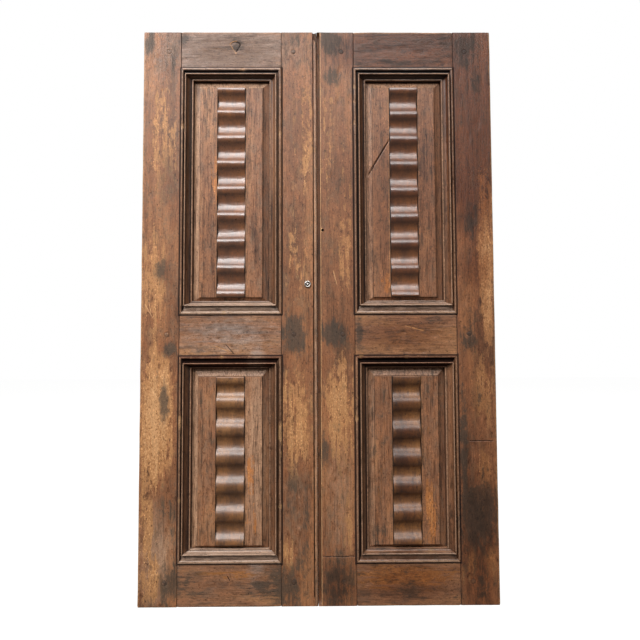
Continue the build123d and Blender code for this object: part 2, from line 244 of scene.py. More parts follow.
woodLayers = [  # name, signals with their weights, where it starts and is full, its most, blend, colour
    ("light", {"broad": 1}, 0.48, 0.62, 0.9, "MIX", "light"),
    ("dark", {"broad": -1}, -0.47, -0.34, 0.8, "MIX", "dark"),
    ("grey", {"scab": 1}, 0.5, 0.6, 0.45, "MIX", "grey"),
    ("warm", {"scab": -1}, -0.48, -0.38, 0.4, "MIX", "warm"),
    # bloom layer: wax bloom, and painted sheen where faces catch the light
    ("bloom", {"bloom": 1, "mottle": 0.8, "streak": 0.6}, 0.9, 1.6, 0.8, "MIX", "bloom"),
    ("streak", {"streak": 1, "scab": 0.5}, 0.74, 1.0, 0.7, "MULTIPLY", "#746055"),
    ("fibre", {"fibre": 1}, 0.46, 0.68, 0.62, "MULTIPLY", "#7d6a5e"),
    ("ochre", {"ochre": 1, "scab": 1.4, "streak": 1.3, "mottle": 0.9}, 2.16, 2.4, 0.85, "MIX", "ochre"),
    ("bare", {"ochre": 0.8, "streak": 1.2, "fleck": 1.8}, 2.02, 2.3, 0.55, "MIX", "bare"),
    (
        "stain", {"stain": 1, "scab": 1.7, "mottle": 1.4, "streak": 0.9, "fleck": 0.8},
        2.62, 3.1, 0.82, "MIX", "stain",
    ),
    # shade layer: painted shade, darker where less light falls
    ("shade", {"shade": 1, "scab": 0.7}, 0.45, 1.25, 1.0, "MULTIPLY", "#ad917a"),
    # rub layer: rubbed wood, and painted highlights on lit ridges, ends and edges
    ("rubAndHighlight", {"rubAndHighlight": 1, "streak": 0.6, "fleck": 0.5}, 0.75, 1.45, 0.75, "MIX", "bare"),
    # grime layer: dirt, and painted shade in hollows, under edges and on faces turned from the light
    ("grimeAndShade", {"grimeAndShade": 1, "fleck": 0.5}, 0.4, 1.05, 0.93, "MULTIPLY", "#3a2015"),
    ("scuff", {"mottle": 1, "fibre": 0.4}, 0.75, 0.92, 0.85, "DODGE", "#9f968c"),
    ("smear", {"mottle": -1, "fibre": -0.4}, -0.64, -0.46, 0.7, "MULTIPLY", "#66554a"),
    ("pore", {"pore": 1}, 0.6, 0.72, 0.65, "MULTIPLY", "#4c382c"),
    ("dust", {"fleck": -1}, -0.44, -0.28, 0.95, "MULTIPLY", "#66574d"),
    ("pale", {"fleck": 1}, 0.55, 0.67, 0.9, "DODGE", "#9f968c"),
]
woodRough = {"streak": 0.16, "fleck": 0.22, "stain": 0.12, "ochre": 0.08, "grimeAndShade": 0.42}
woodHeight = {
    "streak": 0.9, "fibre": 0.7, "fleck": 0.9, "mottle": 0.7, "scab": 0.7, "ochre": -0.5, "pore": -0.6,
}


def weighted(tree, signals, weights, base):
    total = base
    for name, weight in weights.items():
        inputs = {0: signals[name], 1: weight, 2: total}
        total = addNode(tree, "Math", {"operation": "MULTIPLY_ADD"}, inputs)
    return total


def oldWood(kind):
    use = woodKinds[kind]
    material, tree, shader = newMaterial(f"waxedHardwood.{kind}", use["mid"])
    place = addNode(tree, "TexCoord", output="Object")
    signals = {}
    for name in ("seed", "ochre", "stain", "shade", "bloom", "rubAndHighlight", "grimeAndShade"):
        signals[name] = addNode(tree, "Attribute", {"attribute_name": name}, output="Fac")
    for name, (across, along, detail, rough) in woodGrain.items():
        scale = [1 / (along * mm) if axis == use["grain"] else 1 / (across * mm) for axis in "xyz"]
        inputs = {
            "Vector": addNode(tree, "VectorMath", {"operation": "MULTIPLY"}, {0: place, 1: scale}),
            "W": signals["seed"], "Scale": 1.0, "Detail": detail, "Roughness": rough, "Distortion": 0.3,
        }
        signals[name] = addNode(tree, "TexNoise", {"noise_dimensions": "4D"}, inputs, "Fac")
    tone = linear(use["mid"])
    shown = dict(signals)
    for name, weights, start, full, most, mode, colour in woodLayers:
        most = most * use["figure"] if name in ("streak", "fibre", "pore") else most
        value = weighted(tree, signals, weights, 0.0)
        inputs = {"Value": value, "From Min": start, "From Max": full, "To Max": most}
        amount = addNode(tree, "MapRange", smooth, inputs)
        inputs = {0: amount, 6: tone, 7: linear(use.get(colour, colour))}
        tone = addNode(tree, "Mix", {**rgba, "blend_type": mode}, inputs, 2)
        if name in ("ochre", "stain", "grimeAndShade", "pore"):
            shown[name] = amount
    evenRough = use["rough"] - (woodRough["streak"] + woodRough["fleck"]) / 2
    height = weighted(tree, shown, woodHeight, 0.0)
    bump = {"Strength": use["bump"], "Distance": 0.6 * mm, "Height": height}
    # the coat is wax left thick where nobody rubbed it off
    feed(tree, shader, {
        "Base Color": tone, "Roughness": weighted(tree, shown, woodRough, evenRough),
        "Normal": addNode(tree, "Bump", {}, bump), "Specular IOR Level": use["shine"],
        "Coat Weight": use.get("coat", 0.0), "Coat Roughness": 0.3,
    })
    return material


# Wrought iron, forged and blackened: dark, uneven, with a dull sheen and rust in the hollows.
def wroughtIron():
    material, tree, shader = newMaterial("wroughtIron", "#33302e")
    place = addNode(tree, "TexCoord", output="Object")
    hammer, scale = (
        addNode(tree, "TexNoise", {}, {"Vector": place, "Scale": 1 / (size * mm), "Detail": detail}, "Fac")
        for size, detail in ((7, 3.0), (2, 5.0))
    )
    rust = {"Value": scale, "From Min": 0.5, "From Max": 0.72, "To Max": 0.75}
    rust = addNode(tree, "MapRange", smooth, rust)
    rough = {"Value": hammer, "From Min": 0.3, "From Max": 0.7, "To Min": 0.42, "To Max": 0.68}
    lumps = addNode(tree, "Math", {"operation": "ADD"}, {0: hammer, 1: scale})
    feed(tree, shader, {
        "Base Color": addNode(tree, "Mix", rgba, {0: rust, 6: linear("#2c2a29"), 7: linear("#5a3824")}, 2),
        "Roughness": addNode(tree, "MapRange", {}, rough), "Metallic": 0.85,
        "Normal": addNode(tree, "Bump", {}, {"Strength": 0.5, "Distance": 0.4 * mm, "Height": lumps}),
    })
    return material


# Tinned steel, pressed and rubbed bright: pale rim with grey dirt left in the sunk face.
def tinnedSteel():
    material, tree, shader = newMaterial("tinnedSteel", "#a8a09a")
    place = addNode(tree, "TexCoord", output="Object")
    dirt = addNode(tree, "Attribute", {"attribute_name": "grimeAndShade"}, output="Fac")
    spots = addNode(tree, "TexNoise", {}, {"Vector": place, "Scale": 1 / (1.2 * mm), "Detail": 4.0}, "Fac")
    both = addNode(tree, "Math", {"operation": "MULTIPLY_ADD"}, {0: spots, 1: 0.5, 2: dirt})
    amount = addNode(tree, "MapRange", smooth, {"Value": both, "From Min": 0.3, "From Max": 1.0})
    feed(tree, shader, {
        "Base Color": addNode(tree, "Mix", rgba, {0: amount, 6: linear("#d8d2cc"), 7: linear("#4a3d35")}, 2),
        "Roughness": addNode(tree, "MapRange", {}, {"Value": both, "To Min": 0.24, "To Max": 0.6}),
        "Metallic": 0.9,
    })
    return material


materials = {kind: oldWood(kind) for kind in woodKinds}
materials["iron"] = wroughtIron()
materials["boss"] = tinnedSteel()
print("materials made:", len(materials))

# Wear, painted shade and painted sheen on the front, seen from the carved side: x, z, half width and half
# height in millimetres, and strength
wearAndLight = {
    "ochre": [
        (-314, 918, 26, 120, 0.52), (-328, 642, 24, 105, 0.52), (-319, 362, 27, 112, 1.0),
        (-338, 139, 14, 125, 0.6), (-324, 59, 14, 42, 0.75), (-22, 945, 10, 140, 0.5),
        (-45, 354, 26, 80, 0.66), (-44, 685, 22, 90, 0.4), (57, 713, 13, 98, 0.55), (40, 375, 30, 95, 0.62),
        (338, 673, 15, 135, 0.85), (328, 413, 24, 90, 0.5), (328, 261, 22, 60, 0.55), (174, 53, 96, 22, 0.7),
        (220, 179, 13, 62, 0.75), (-208, 848, 6, 60, 0.7), (135, 633, 11, 32, 0.6), (-137, 252, 6, 46, 0.7),
        (-130, 160, 15, 43, 0.45), (338, 82, 14, 50, 0.55), (-170, 60, 70, 12, 0.5), (-60, 95, 12, 44, 0.6),
        (-105, 420, 8, 40, 0.35), (120, 240, 9, 60, 0.4), (222, 320, 10, 50, 0.4),
        (60, 150, 10, 60, 0.5), (250, 62, 40, 12, 0.5),
        (300, 80, 12, 40, 0.5), (30, 930, 30, 160, 0.3), (-50, 880, 26, 120, 0.28),
    ],
    # painted shade: darker where less light falls, mostly on the right leaf and low down, and under the lower
    # panels' top members
    "shade": [
        (318, 575, 44, 700, 0.5), (316, 1010, 46, 220, 1.5), (318, 130, 46, 240, 0.7),
        (175, 1112, 112, 46, 1.25), (175, 530, 108, 44, 0.66), (175, 43, 110, 46, 0.65),
        (-175, 1112, 112, 40, 0.85), (175, 823, 104, 250, 0.72), (175, 286, 104, 200, 0.32),
        (-175, 40, 112, 46, 0.25), (175, 286, 30, 190, 0.8), (40, 40, 34, 50, 0.6), (318, 660, 40, 60, 0.7),
        (175, 475, 96, 7, 0.75), (-229, 823, 22, 230, 0.35), (-45, 1010, 30, 120, 0.35),
    ],
    "stain": [
        (-342, 1130, 10, 18, 0.75), (-272, 1134, 11, 17, 0.7), (26, 1130, 20, 22, 0.95),
        (27, 1056, 18, 15, 0.7), (300, 1118, 21, 33, 0.72), (321, 1052, 13, 36, 0.5),
        (-47, 531, 17, 32, 0.95), (29, 531, 21, 21, 0.95), (-289, 45, 20, 34, 0.7), (-66, 42, 34, 38, 0.72),
        (318, 169, 36, 52, 0.95), (288, 256, 9, 145, 0.7), (-307, 848, 13, 56, 0.42),
        (-298, 500, 11, 12, 0.85), (-313, 658, 12, 17, 0.72), (-306, 392, 9, 28, 0.8),
        (-300, 199, 20, 52, 0.5), (12, 300, 10, 28, 0.8),
        (38, 46, 34, 46, 0.6), (82, 532, 7, 28, 0.75), (311, 767, 11, 38, 0.7), (301, 522, 14, 26, 0.62),
        (175, 36, 30, 17, 0.6), (323, 45, 27, 36, 0.5), (-200, 45, 150, 60, 0.2), (190, 50, 170, 70, 0.26),
        (318, 300, 40, 280, 0.2), (-318, 300, 36, 300, 0.12), (-45, 120, 34, 130, 0.2),
        (40, 200, 34, 200, 0.16), (0, 1125, 60, 40, 0.45), (-229, 290, 24, 190, 0.22),
        (128, 290, 34, 190, 0.28), (222, 290, 34, 190, 0.22), (-166, 1124, 12, 12, 0.6),
        (258, 1118, 24, 30, 0.5), (-290, 1090, 8, 30, 0.45), (-100, 35, 42, 22, 0.55),
        (-250, 40, 30, 28, 0.45), (-25, 120, 9, 90, 0.5), (-52, 210, 14, 50, 0.35),
        (175, 1086, 80, 7, 0.55), (120, 1122, 22, 12, 0.4),
        (128, 420, 10, 50, 0.4), (120, 130, 16, 36, 0.5), (226, 440, 9, 34, 0.4), (-235, 380, 10, 60, 0.3),
        (-225, 130, 14, 30, 0.45), (140, 1015, 30, 22, 0.35),
    ],
    # wax bloom, partly painted sheen, as on the left leaf's top rail
    "bloom": [
        (-175, 1112, 112, 34, 1.0), (-175, 528, 100, 38, 0.5), (-124, 290, 20, 170, 1.15),
        (-175, 45, 100, 34, 0.25), (40, 210, 30, 150, 0.45), (318, 230, 30, 140, 0.4),
        (-45, 180, 30, 120, 0.4), (-229, 290, 16, 170, 0.5), (-318, 100, 34, 90, 0.68),
        (-4.8, 575, 3.0, 900, 0.6),
    ],
}
patchFade = {"core": 1.25, "fall": 0.62}  # full in the middle of a place, and gone at twice its half size
patchDepth = 22 * mm  # how far behind the front face the wear, painted shade and painted sheen still reach


def wearAndLightMask(points, name):
    total = np.zeros(len(points))
    for x, z, halfWidth, halfHeight, strength in wearAndLight[name]:
        away = np.hypot((points[:, 0] / mm - x) / halfWidth, (points[:, 2] / mm - z) / halfHeight)
        total = np.maximum(total, strength * unit(patchFade["core"] - patchFade["fall"] * away))
    return total * unit(1 - (points[:, 1] - faceY) / patchDepth)


# Building pieces
pieceCount = 0
seedStep = 3.7  # moves the wood's pattern on from piece to piece


def makePiece(name, points, faces, masks, material, body):
    global pieceCount
    pieceCount += 1
    mesh = bpy.data.meshes.new(name)
    mesh.from_pydata(points.tolist(), [], faces)
    whole = bmesh.new()
    whole.from_mesh(mesh)
    bmesh.ops.recalc_face_normals(whole, faces=whole.faces)
    whole.to_mesh(mesh)
    whole.free()
    layers = {key: wearAndLightMask(points, key) for key in wearAndLight}
    layers["seed"] = np.full(len(points), pieceCount * seedStep)
    for key in ("grimeAndShade", "rubAndHighlight"):
        layers[key] = np.zeros(len(points))
    for key, values in masks.items():
        layers[key] = np.maximum(layers[key], values)
    for key, values in layers.items():
        layer = mesh.attributes.new(key, "FLOAT", "POINT")
        layer.data.foreach_set("value", np.ascontiguousarray(values, dtype=np.float32))
    mesh.shade_smooth()
    mesh.set_sharp_from_angle(angle=sharpAngle)
    mesh.materials.append(materials[material])
    piece = bpy.data.objects.new(name, mesh)
    bpy.context.collection.objects.link(piece)
    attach(piece, body)
    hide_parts(name)


def loopQuads(first, second, here):
    # quads between two closed loops that start at these numbers
    there = np.roll(here, -1)
    return np.stack([first + here, first + there, second + there, second + here], -1).tolist()


def loftFaces(count, around):
    # quads between closed loops that follow each other, and a cap at both ends
    faces = []
    for start in range(0, (count - 1) * around, around):
        faces += loopQuads(start, start + around, np.arange(around))
    faces.append(list(range(around - 1, -1, -1)))
    faces.append(list(range((count - 1) * around, count * around)))
    return faces


def ringPoints(x, y, z, radius, turns):
    return np.stack([x + radius * np.cos(turns), np.full(len(turns), y), z + radius * np.sin(turns)], 1)


def roundedSection(width, depth, radii, frontLines, sideCount, backCount, backInset=(0, 0), straight=0):
    # points round a board's section for every station; radii has a column for each corner, front ones first
    # a side with a back inset keeps straight for the given depth and falls away behind it
    place = [(0, 0), (width, 0), (width - backInset[1], depth), (backInset[0], depth)]
    place = [np.array(p) for p in place]
    way = [place[(c + 1) % 4] - place[c] for c in range(4)]
    way = [step / np.linalg.norm(step) for step in way]
    turns = np.radians([0, 30, 60, 90])
    sideShares = np.linspace(0, 1, sideCount + 2)[1:-1]
    shares = [frontLines / width, sideShares, np.linspace(0, 1, backCount + 2)[1:-1], sideShares]
    points, front, edge = [], [], []
    for c in range(4):
        after = (c + 1) % 4
        radius = radii[:, c:c + 1]
        for turn in turns:
            bend = (1 - math.cos(turn)) * way[c] - (1 - math.sin(turn)) * way[c - 1]
            points.append(place[c] + radius * bend)
            front.append({0: math.sin(turn), 1: math.cos(turn)}.get(c, 0.0))
            edge.append(c)
        start = place[c] + radius * way[c]
        end = place[after] - radii[:, after:after + 1] * way[c]
        for share in shares[c]:
            spot = start + share * (end - start)
            if c in (1, 3) and straight:
                inward = spot[:, 1]
                late = inward / depth - unit((inward - straight) / (depth - straight))
                spot[:, 0] += (backInset[1] if c == 1 else -backInset[0]) * late
            points.append(spot)
            front.append(1.0 if c == 0 else 0.0)
            edge.append(-1)
    return np.stack(points, 1), np.array(front), np.array(edge)


# Stiles and rails: hand-planed boards with rounded edges and dents
boardLook = {
    "acrossStep": 2.6 * mm,
    "alongStep": 4.5 * mm,
    "sideLines": 12,
    "backLines": 12,
    "wave": 0.28 * mm,         # unevenness left by a hand plane
    "waveAcross": 26 * mm,
    "waveAlong": 130 * mm,
    "fibre": 0.1 * mm,         # raised grain
    "fibreAcross": 5 * mm,
    "fibreAlong": 70 * mm,
    # edges that meet another board, edges handled for years, and the edges between the leaves
    "round": {"joint": 0.9 * mm, "free": 2.2 * mm, "gap": 1.5 * mm},
    "grimeAndShade": {"joint": 0.62, "free": 0.15, "gap": 0.4},
    "rubAndHighlight": {"joint": 0.12, "free": 0.5, "gap": 0.1},
    "backRound": 1.2 * mm,
    "roundChange": 0.45,
    "roundAlong": 38 * mm,
    "endRound": 1.4 * mm,
    "endLines": (0.12, 0.4),   # extra stations in the rounded ends, as shares of endRound
    "meetingBevel": 4.0 * mm,  # how far the meeting edges fall away towards the back
    "meetingStraight": 13 * mm,
    "meetingSwell": 0.2 * mm,
    "meetingPlay": 0.06 * mm,
    "dents": 26,
    "dentPlace": (0.03, 0.97),
    "dentSize": (3, 10),       # millimetres
    "dentStretch": 2.2,        # longer along the grain
    "dentDepth": (0.2, 0.7),
}
fineLines = {  # reach and step of the closer lines that a mark needs
    "peg": (7 * mm, 1.2 * mm), "hole": (7 * mm, 0.6 * mm), "split": (4 * mm, 0.6 * mm),
    "knot": (16 * mm, 1.2 * mm), "bead": (6 * mm, 0.5 * mm), "beadEnd": (12 * mm, 1.2 * mm),
    "rebate": (1.2 * mm, 0.2 * mm), "joint": (3 * mm, 0.8 * mm), "lap": (4 * mm, 0.8 * mm),
}

# Marks on single boards, in millimetres on the object
beadLap = {"top": 1.4, "bottom": 3.4, "outer": 0.6, "inner": 1.4}  # how far the mouldings lie on the frame
marks = {
    "nailHole": {
        "place": (9.6, 740), "radius": 2.1, "depth": 5.0, "torn": 3.6, "tornWidth": 0.9, "tornHeight": 0.9,
        "splinters": 5, "mouth": 1.35, "dirtReach": 1.8, "rubAndHighlight": 1.2,
    },
    "rebate": {
        "board": "right_meeting_stile", "width": 5.1, "depth": 8.0, "wall": 0.3, "ease": 1.2,
        "easeDepth": 0.6, "dirt": 0.4, "rubAndHighlight": 0.9, "arrisHighlightWidth": 0.7, "endGap": 1.5, "stop": 4.0,
    },
    "splits": [
        {"board": "right_hanging_stile", "z": 318, "from": 297, "to": 347, "width": 1.3, "depth": 1.0},
        {"board": "right_meeting_stile", "z": 95, "from": 5, "to": 73, "width": 1.2, "depth": 0.9},
    ],
    "splitWander": 1.2 * mm, "splitCell": 9 * mm, "splitFade": 4,
    "railKnot": {
        "place": (-166, 1123), "radius": 11, "depth": 0.72, "above": 1.5, "below": 0.7, "point": 0.9,
        "pointMost": 1.6, "wander": 0.12, "wanderCell": 5 * mm, "darkLine": (0.8, 0.2),
        "paleLine": (1.1, 0.16), "dirtLeft": 0.35, "dirtRight": 0.8, "rubAndHighlight": 0.75, "rubEnd": 0.2,
    },
    # painted shadow of the lapping beads on the frame
    "lapShadow": {"reach": 3.2, "strength": {"top": 0.9, "bottom": 1.8, "outer": 1.6, "inner": 1.6}},
    "pegRing": {"inner": 4.6, "outer": 5.6, "depth": 0.3, "dirt": 0.55},
}
scratches = {  # board, from and to in millimetres, and whether it shows pale wood or holds dirt
    "lines": [
        ("left_hanging_stile", (-347, 594), (-329, 562), True),
        ("left_hanging_stile", (-340, 604), (-333, 572), True),
        ("left_middle_rail", (-186, 512), (-166, 490), False),
        ("left_middle_rail", (-206, 508), (-176, 496), True),
        ("left_bottom_rail", (-180, 60), (-174, 50), False),
        ("right_middle_rail", (170, 548), (214, 536), True),
        ("left_hanging_stile", (-334, 428), (-318, 404), True),
        ("right_meeting_stile", (30, 660), (38, 628), True),
    ],
    "width": 1.0, "core": 1.3, "depth": 0.35, "taper": (6, 0.2), "step": 0.9 * mm, "reach": 4 * mm,
}
edgeBead = {
    "width": 6.3, "dirt": 0.7, "quirk": 1.7, "quirkDepth": 4.0, "crown": 1.4, "stop": 14.0, "stopFade": 6.0,
    # the end that broke off
    "lost": 16.0, "lostSlant": 5.0, "lostDepth": 4.2, "lostDirt": 0.55, "ragged": 2.0, "raggedCell": 2.5 * mm,
    "torn": 0.7, "tornCell": (1.5 * mm, 1.5 * mm, 7 * mm),
}


def pegMiddles(side):
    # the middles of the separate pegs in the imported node
    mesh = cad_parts[f"{side}_pegs"].data
    spots = np.array([v.co[:] for v in mesh.vertices])[:, [0, 2]]
    middles = []
    while len(spots):
        near = np.hypot(*(spots - spots[0]).T) < 20 * mm
        middles.append((spots[near].min(0) + spots[near].max(0)) / 2)
        spots = spots[~near]
    return middles


pegPlaces = {side: pegMiddles(side) for side in sides}


def pegRings(side, x, z):
    ring = marks["pegRing"]
    inside = np.zeros(len(x))
    for pegX, pegZ in pegPlaces[side]:
        away = np.hypot(x - pegX, z - pegZ) / mm
        inside = np.maximum(inside, unit((ring["outer"] - away) / (ring["outer"] - ring["inner"])))
    return ring["depth"] * mm * inside, ring["dirt"] * inside


def lapShadow(side, x, z):
    # painted shadow of the lapping beads on the frame, in the angle against them, strongest below the bottom
    # members
    dirt = np.zeros(len(x))
    place, use = layout[side], marks["lapShadow"]
    for row in rows:
        bottom, top = place[row]
        gaps = (place["left"] - x, x - place["right"], bottom - z, z - top)
        around = (*place["uprights"], "bottom", "top")
        away = {member: gap / mm - beadLap[member] for member, gap in zip(around, gaps)}
        furthest = np.maximum.reduce(list(away.values()))
        for member, strength in use["strength"].items():
            here = (away[member] > furthest - 0.01) * strength * unit(1 - furthest / use["reach"])
            dirt = np.maximum(dirt, here)
    return dirt


def splitShape(mark, x, z):
    wander = marks["splitWander"] * lineNoise(x, marks["splitCell"], seeds["split"])
    away = np.abs(z - mark["z"] * mm - wander) / (mark["width"] * mm)
    along = unit(np.minimum(x / mm - mark["from"], mark["to"] - x / mm) / marks["splitFade"])
    return along * unit(1 - away)


def rebateDepth(name, points, front, depth):
    # the whole front corner of the right meeting stile is sunk, less and less towards the back of its edge
    rebate = marks["rebate"]
    if name != rebate["board"]:
        return 0, 0, 0
    fromEdge = (points[:, 0] - corners(name)[0][0]) / mm
    inside = unit((rebate["width"] - fromEdge) / rebate["wall"])
    eased = rebate["easeDepth"] * unit(1 - (fromEdge - rebate["width"]) / rebate["ease"]) ** 2
    behind = unit((points[:, 1] - front) / depth)
    fromEnd = np.minimum(points[:, 2], leafTop - points[:, 2]) / mm
    opened = (1 - behind) * unit((fromEnd - rebate["endGap"]) / rebate["stop"])
    sunk = np.where(inside > 0, rebate["depth"] * inside, eased) * opened
    inFront = points[:, 1] < front + depth / 2
    # a pale line on the eased arris beside the rebate is a painted highlight
    rubAndHighlight = rebate["rubAndHighlight"] * band(fromEdge - rebate["width"], rebate["arrisHighlightWidth"], rebate["arrisHighlightWidth"])
    return sunk * mm, rebate["dirt"] * (inside > 0) * inFront, rubAndHighlight * (inside == 0) * inFront


def beadRelief(deep, grimeAndShade, x, z):
    # the bead along the left leaf's meeting edge, its quirk, and the end that broke off
    bead = edgeBead
    fromEdge = (corners("left_meeting_stile")[1][0] - x) / mm
    onBead = fromEdge < bead["width"]
    half = bead["width"] / 2
    arch = np.sqrt(unit(1 - ((fromEdge - half) / half) ** 2))
    deep = np.where(onBead, np.maximum(deep, bead["crown"] * mm * (1 - arch)), deep)
    grimeAndShade = np.where(onBead, np.maximum(grimeAndShade, bead["dirt"] * (1 - arch) ** 2), grimeAndShade)
    inQuirk = (fromEdge >= bead["width"]) & (fromEdge <= bead["width"] + bead["quirk"])
    fade = unit((z / mm - bead["stop"]) / bead["stopFade"])
    deep = np.where(inQuirk, bead["quirkDepth"] * mm * fade, deep)
    grimeAndShade = np.where(inQuirk, fade, grimeAndShade)
    line = leafTop / mm - bead["lost"] - bead["lostSlant"] * (1 - fromEdge / bead["width"])
    line = line + bead["ragged"] * lineNoise(x, bead["raggedCell"], seeds["beadEnd"])
    lost = onBead & (z / mm > line)
    spots = np.stack([x, 0 * x, z], 1)
    torn = bead["torn"] * smoothNoise(spots, bead["tornCell"], seeds["beadTorn"])
    deep = np.where(lost, (bead["lostDepth"] + torn) * mm, deep)
    return deep, np.where(lost, bead["lostDirt"], grimeAndShade)


def holeRelief(deep, grimeAndShade, bare, x, z):
    # a nail hole with torn wood round it, pale on its left
    hole = marks["nailHole"]
    aside, up = x / mm - hole["place"][0], z / mm - hole["place"][1]
    away = np.hypot(aside, up)
    torn = band(away, hole["torn"], hole["tornWidth"])
    splinters = unit(np.sin(hole["splinters"] * np.arctan2(up, aside)))
    deep = deep + hole["depth"] * mm * unit(hole["mouth"] - away / hole["radius"])
    deep = deep - hole["tornHeight"] * mm * torn * splinters
    grimeAndShade = np.maximum(grimeAndShade, unit(hole["dirtReach"] - away / hole["radius"]))
    return deep, grimeAndShade, np.maximum(bare, hole["rubAndHighlight"] * torn * (aside < 0))


def knotRelief(deep, grimeAndShade, bare, x, z):
    # a knot like a drop, round above and running out to a point below, in a dark line and a pale one
    knot = marks["railKnot"]
    aside, up = (x / mm - knot["place"][0]) / knot["radius"], (z / mm - knot["place"][1]) / knot["radius"]
    across = aside * (1 + knot["point"] * np.clip(-up, 0, knot["pointMost"]))
    across = across + knot["wander"] * lineNoise(z, knot["wanderCell"], seeds["knot"])
    away = np.hypot(across, up * np.where(up > 0, knot["above"], knot["below"]))
    darkLine, paleLine = band(away, *knot["darkLine"]), band(away, *knot["paleLine"])
    deep = deep + knot["depth"] * mm * (unit(1 - away) + darkLine)
    grimeAndShade = np.maximum(grimeAndShade, darkLine * np.where(across > 0, knot["dirtRight"], knot["dirtLeft"]))
    return deep, grimeAndShade, np.maximum(bare, knot["rubAndHighlight"] * paleLine * (across < knot["rubEnd"]))


def relief(name, x, z):
    # how deep, how dark (dirt, and the painted shadow beside the lapping beads) and how bare the front of a
    # board is at each place
    side = name.split("_")[0]
    deep, grimeAndShade = pegRings(side, x, z)
    grimeAndShade = np.maximum(grimeAndShade, lapShadow(side, x, z))
    bare = np.zeros(len(x))
    for where, start, end, isPale in scratches["lines"]:
        if where == name:
            share, away, fade = alongLine(start, end, scratches["taper"], x, z)
            shape = fade * unit(scratches["core"] - away / scratches["width"])
            deep = deep + scratches["depth"] * mm * shape
            bare = np.maximum(bare, shape * isPale)
            grimeAndShade = np.maximum(grimeAndShade, shape * (not isPale))
    if name == "left_meeting_stile":
        deep, grimeAndShade = beadRelief(deep, grimeAndShade, x, z)
    if name == "right_meeting_stile":
        deep, grimeAndShade, bare = holeRelief(deep, grimeAndShade, bare, x, z)
    if name == "left_top_rail":
        deep, grimeAndShade, bare = knotRelief(deep, grimeAndShade, bare, x, z)
    for mark in marks["splits"]:
        if mark["board"] == name:
            shape = splitShape(mark, x, z)
            deep = deep + mark["depth"] * mm * shape
            grimeAndShade = np.maximum(grimeAndShade, shape)
    return deep, grimeAndShade, bare


def board(name, low, high, grain, meets, fineAcross, fineAlong, backInset=(0, 0)):
    # one board along its grain; meets says what it meets on its low and on its high side
    look = boardLook
    across, along = (0, 2) if grain == "z" else (2, 0)
    width, depth = high[across] - low[across], high[1] - low[1]
    endRound = look["endRound"]
    ends = np.array(look["endLines"]) * endRound
    stations = spaced(low[along], high[along], look["alongStep"], fineAlong)
    stations = np.array(sorted([*stations, *(low[along] + ends), *(high[along] - ends)]))
    fineAcross = [(middle - low[across], reach, step) for middle, reach, step in fineAcross]
    frontLines = spaced(0, width, look["acrossStep"], fineAcross)[1:-1]
    seed = seeds["board"] * (pieceCount + 1)
    rounds = [look["round"][neighbour] for neighbour in meets] + [look["backRound"]] * 2
    radii = []
    for number, radius in enumerate(rounds):
        change = look["roundChange"] * lineNoise(stations, look["roundAlong"], seed + number)
        radii.append(radius * (1 + change))
    section, front, edge = roundedSection(
        width, depth, np.stack(radii, 1), frontLines, look["sideLines"], look["backLines"],
        backInset, look["meetingStraight"] if any(backInset) else 0,
    )
    inset = np.minimum(stations - low[along], high[along] - stations)
    inset = endRound - np.sqrt(np.clip(endRound ** 2 - np.clip(endRound - inset, 0, None) ** 2, 0, None))
    middle = np.array([width, depth]) / 2
    section = middle + (section - middle) * (1 - inset[:, None, None] / middle)
    points = np.zeros((len(stations), section.shape[1], 3))
    points[..., across] = low[across] + section[..., 0]
    points[..., 1] = low[1] + section[..., 1]
    points[..., along] = stations[:, None]
    flat = points.reshape(-1, 3)
    weight = np.tile(front, len(stations))
    lift = np.zeros(len(flat))
    for number, unevenness in enumerate(("wave", "fibre")):
        cell = np.full(3, look[f"{unevenness}Across"])
        cell[along] = look[f"{unevenness}Along"]
        lift += look[unevenness] * smoothNoise(flat, cell, seed + number)
    rng = np.random.default_rng(seed + 2)
    for dent in range(look["dents"]):
        spot = low + (high - low) * rng.uniform(*look["dentPlace"], 3)
        size = np.full(3, rng.uniform(*look["dentSize"]) * mm)
        size[along] *= look["dentStretch"]
        away = np.hypot(*((flat - spot) / size)[:, [across, along]].T)
        lift -= rng.uniform(*look["dentDepth"]) * mm * unit(1 - away ** 2) ** 2
    deep, grimeAndShade, bare = relief(name, flat[:, 0], flat[:, 2])
    sunk, sunkGrime, rebateHighlight = rebateDepth(name, flat, low[1], depth)
    flat[:, 1] += weight * (deep - lift) + sunk
    masks = {"grimeAndShade": np.maximum(weight * grimeAndShade, sunkGrime), "rubAndHighlight": np.maximum(weight * bare, rebateHighlight)}
    for number, neighbour in enumerate(meets):
        onEdge = np.tile(edge == number, len(stations))
        for key, values in masks.items():
            values[onEdge] = np.maximum(values[onEdge], look[key][neighbour])
    faces = loftFaces(len(stations), section.shape[1])
    kind = "stile" if grain == "z" else "rail"
    makePiece(name, flat, faces, masks, kind, f"{name.split('_')[0]}_leaf")


def scratchLines(name, axis):
    # where a board needs closer lines, so that its scratches have a shape
    lines = []
    for where, start, end, isPale in scratches["lines"]:
        if where == name:
            low, high = sorted((start[axis] * mm, end[axis] * mm))
            lines.append(((low + high) / 2, (high - low) / 2 + scratches["reach"], scratches["step"]))
    return lines


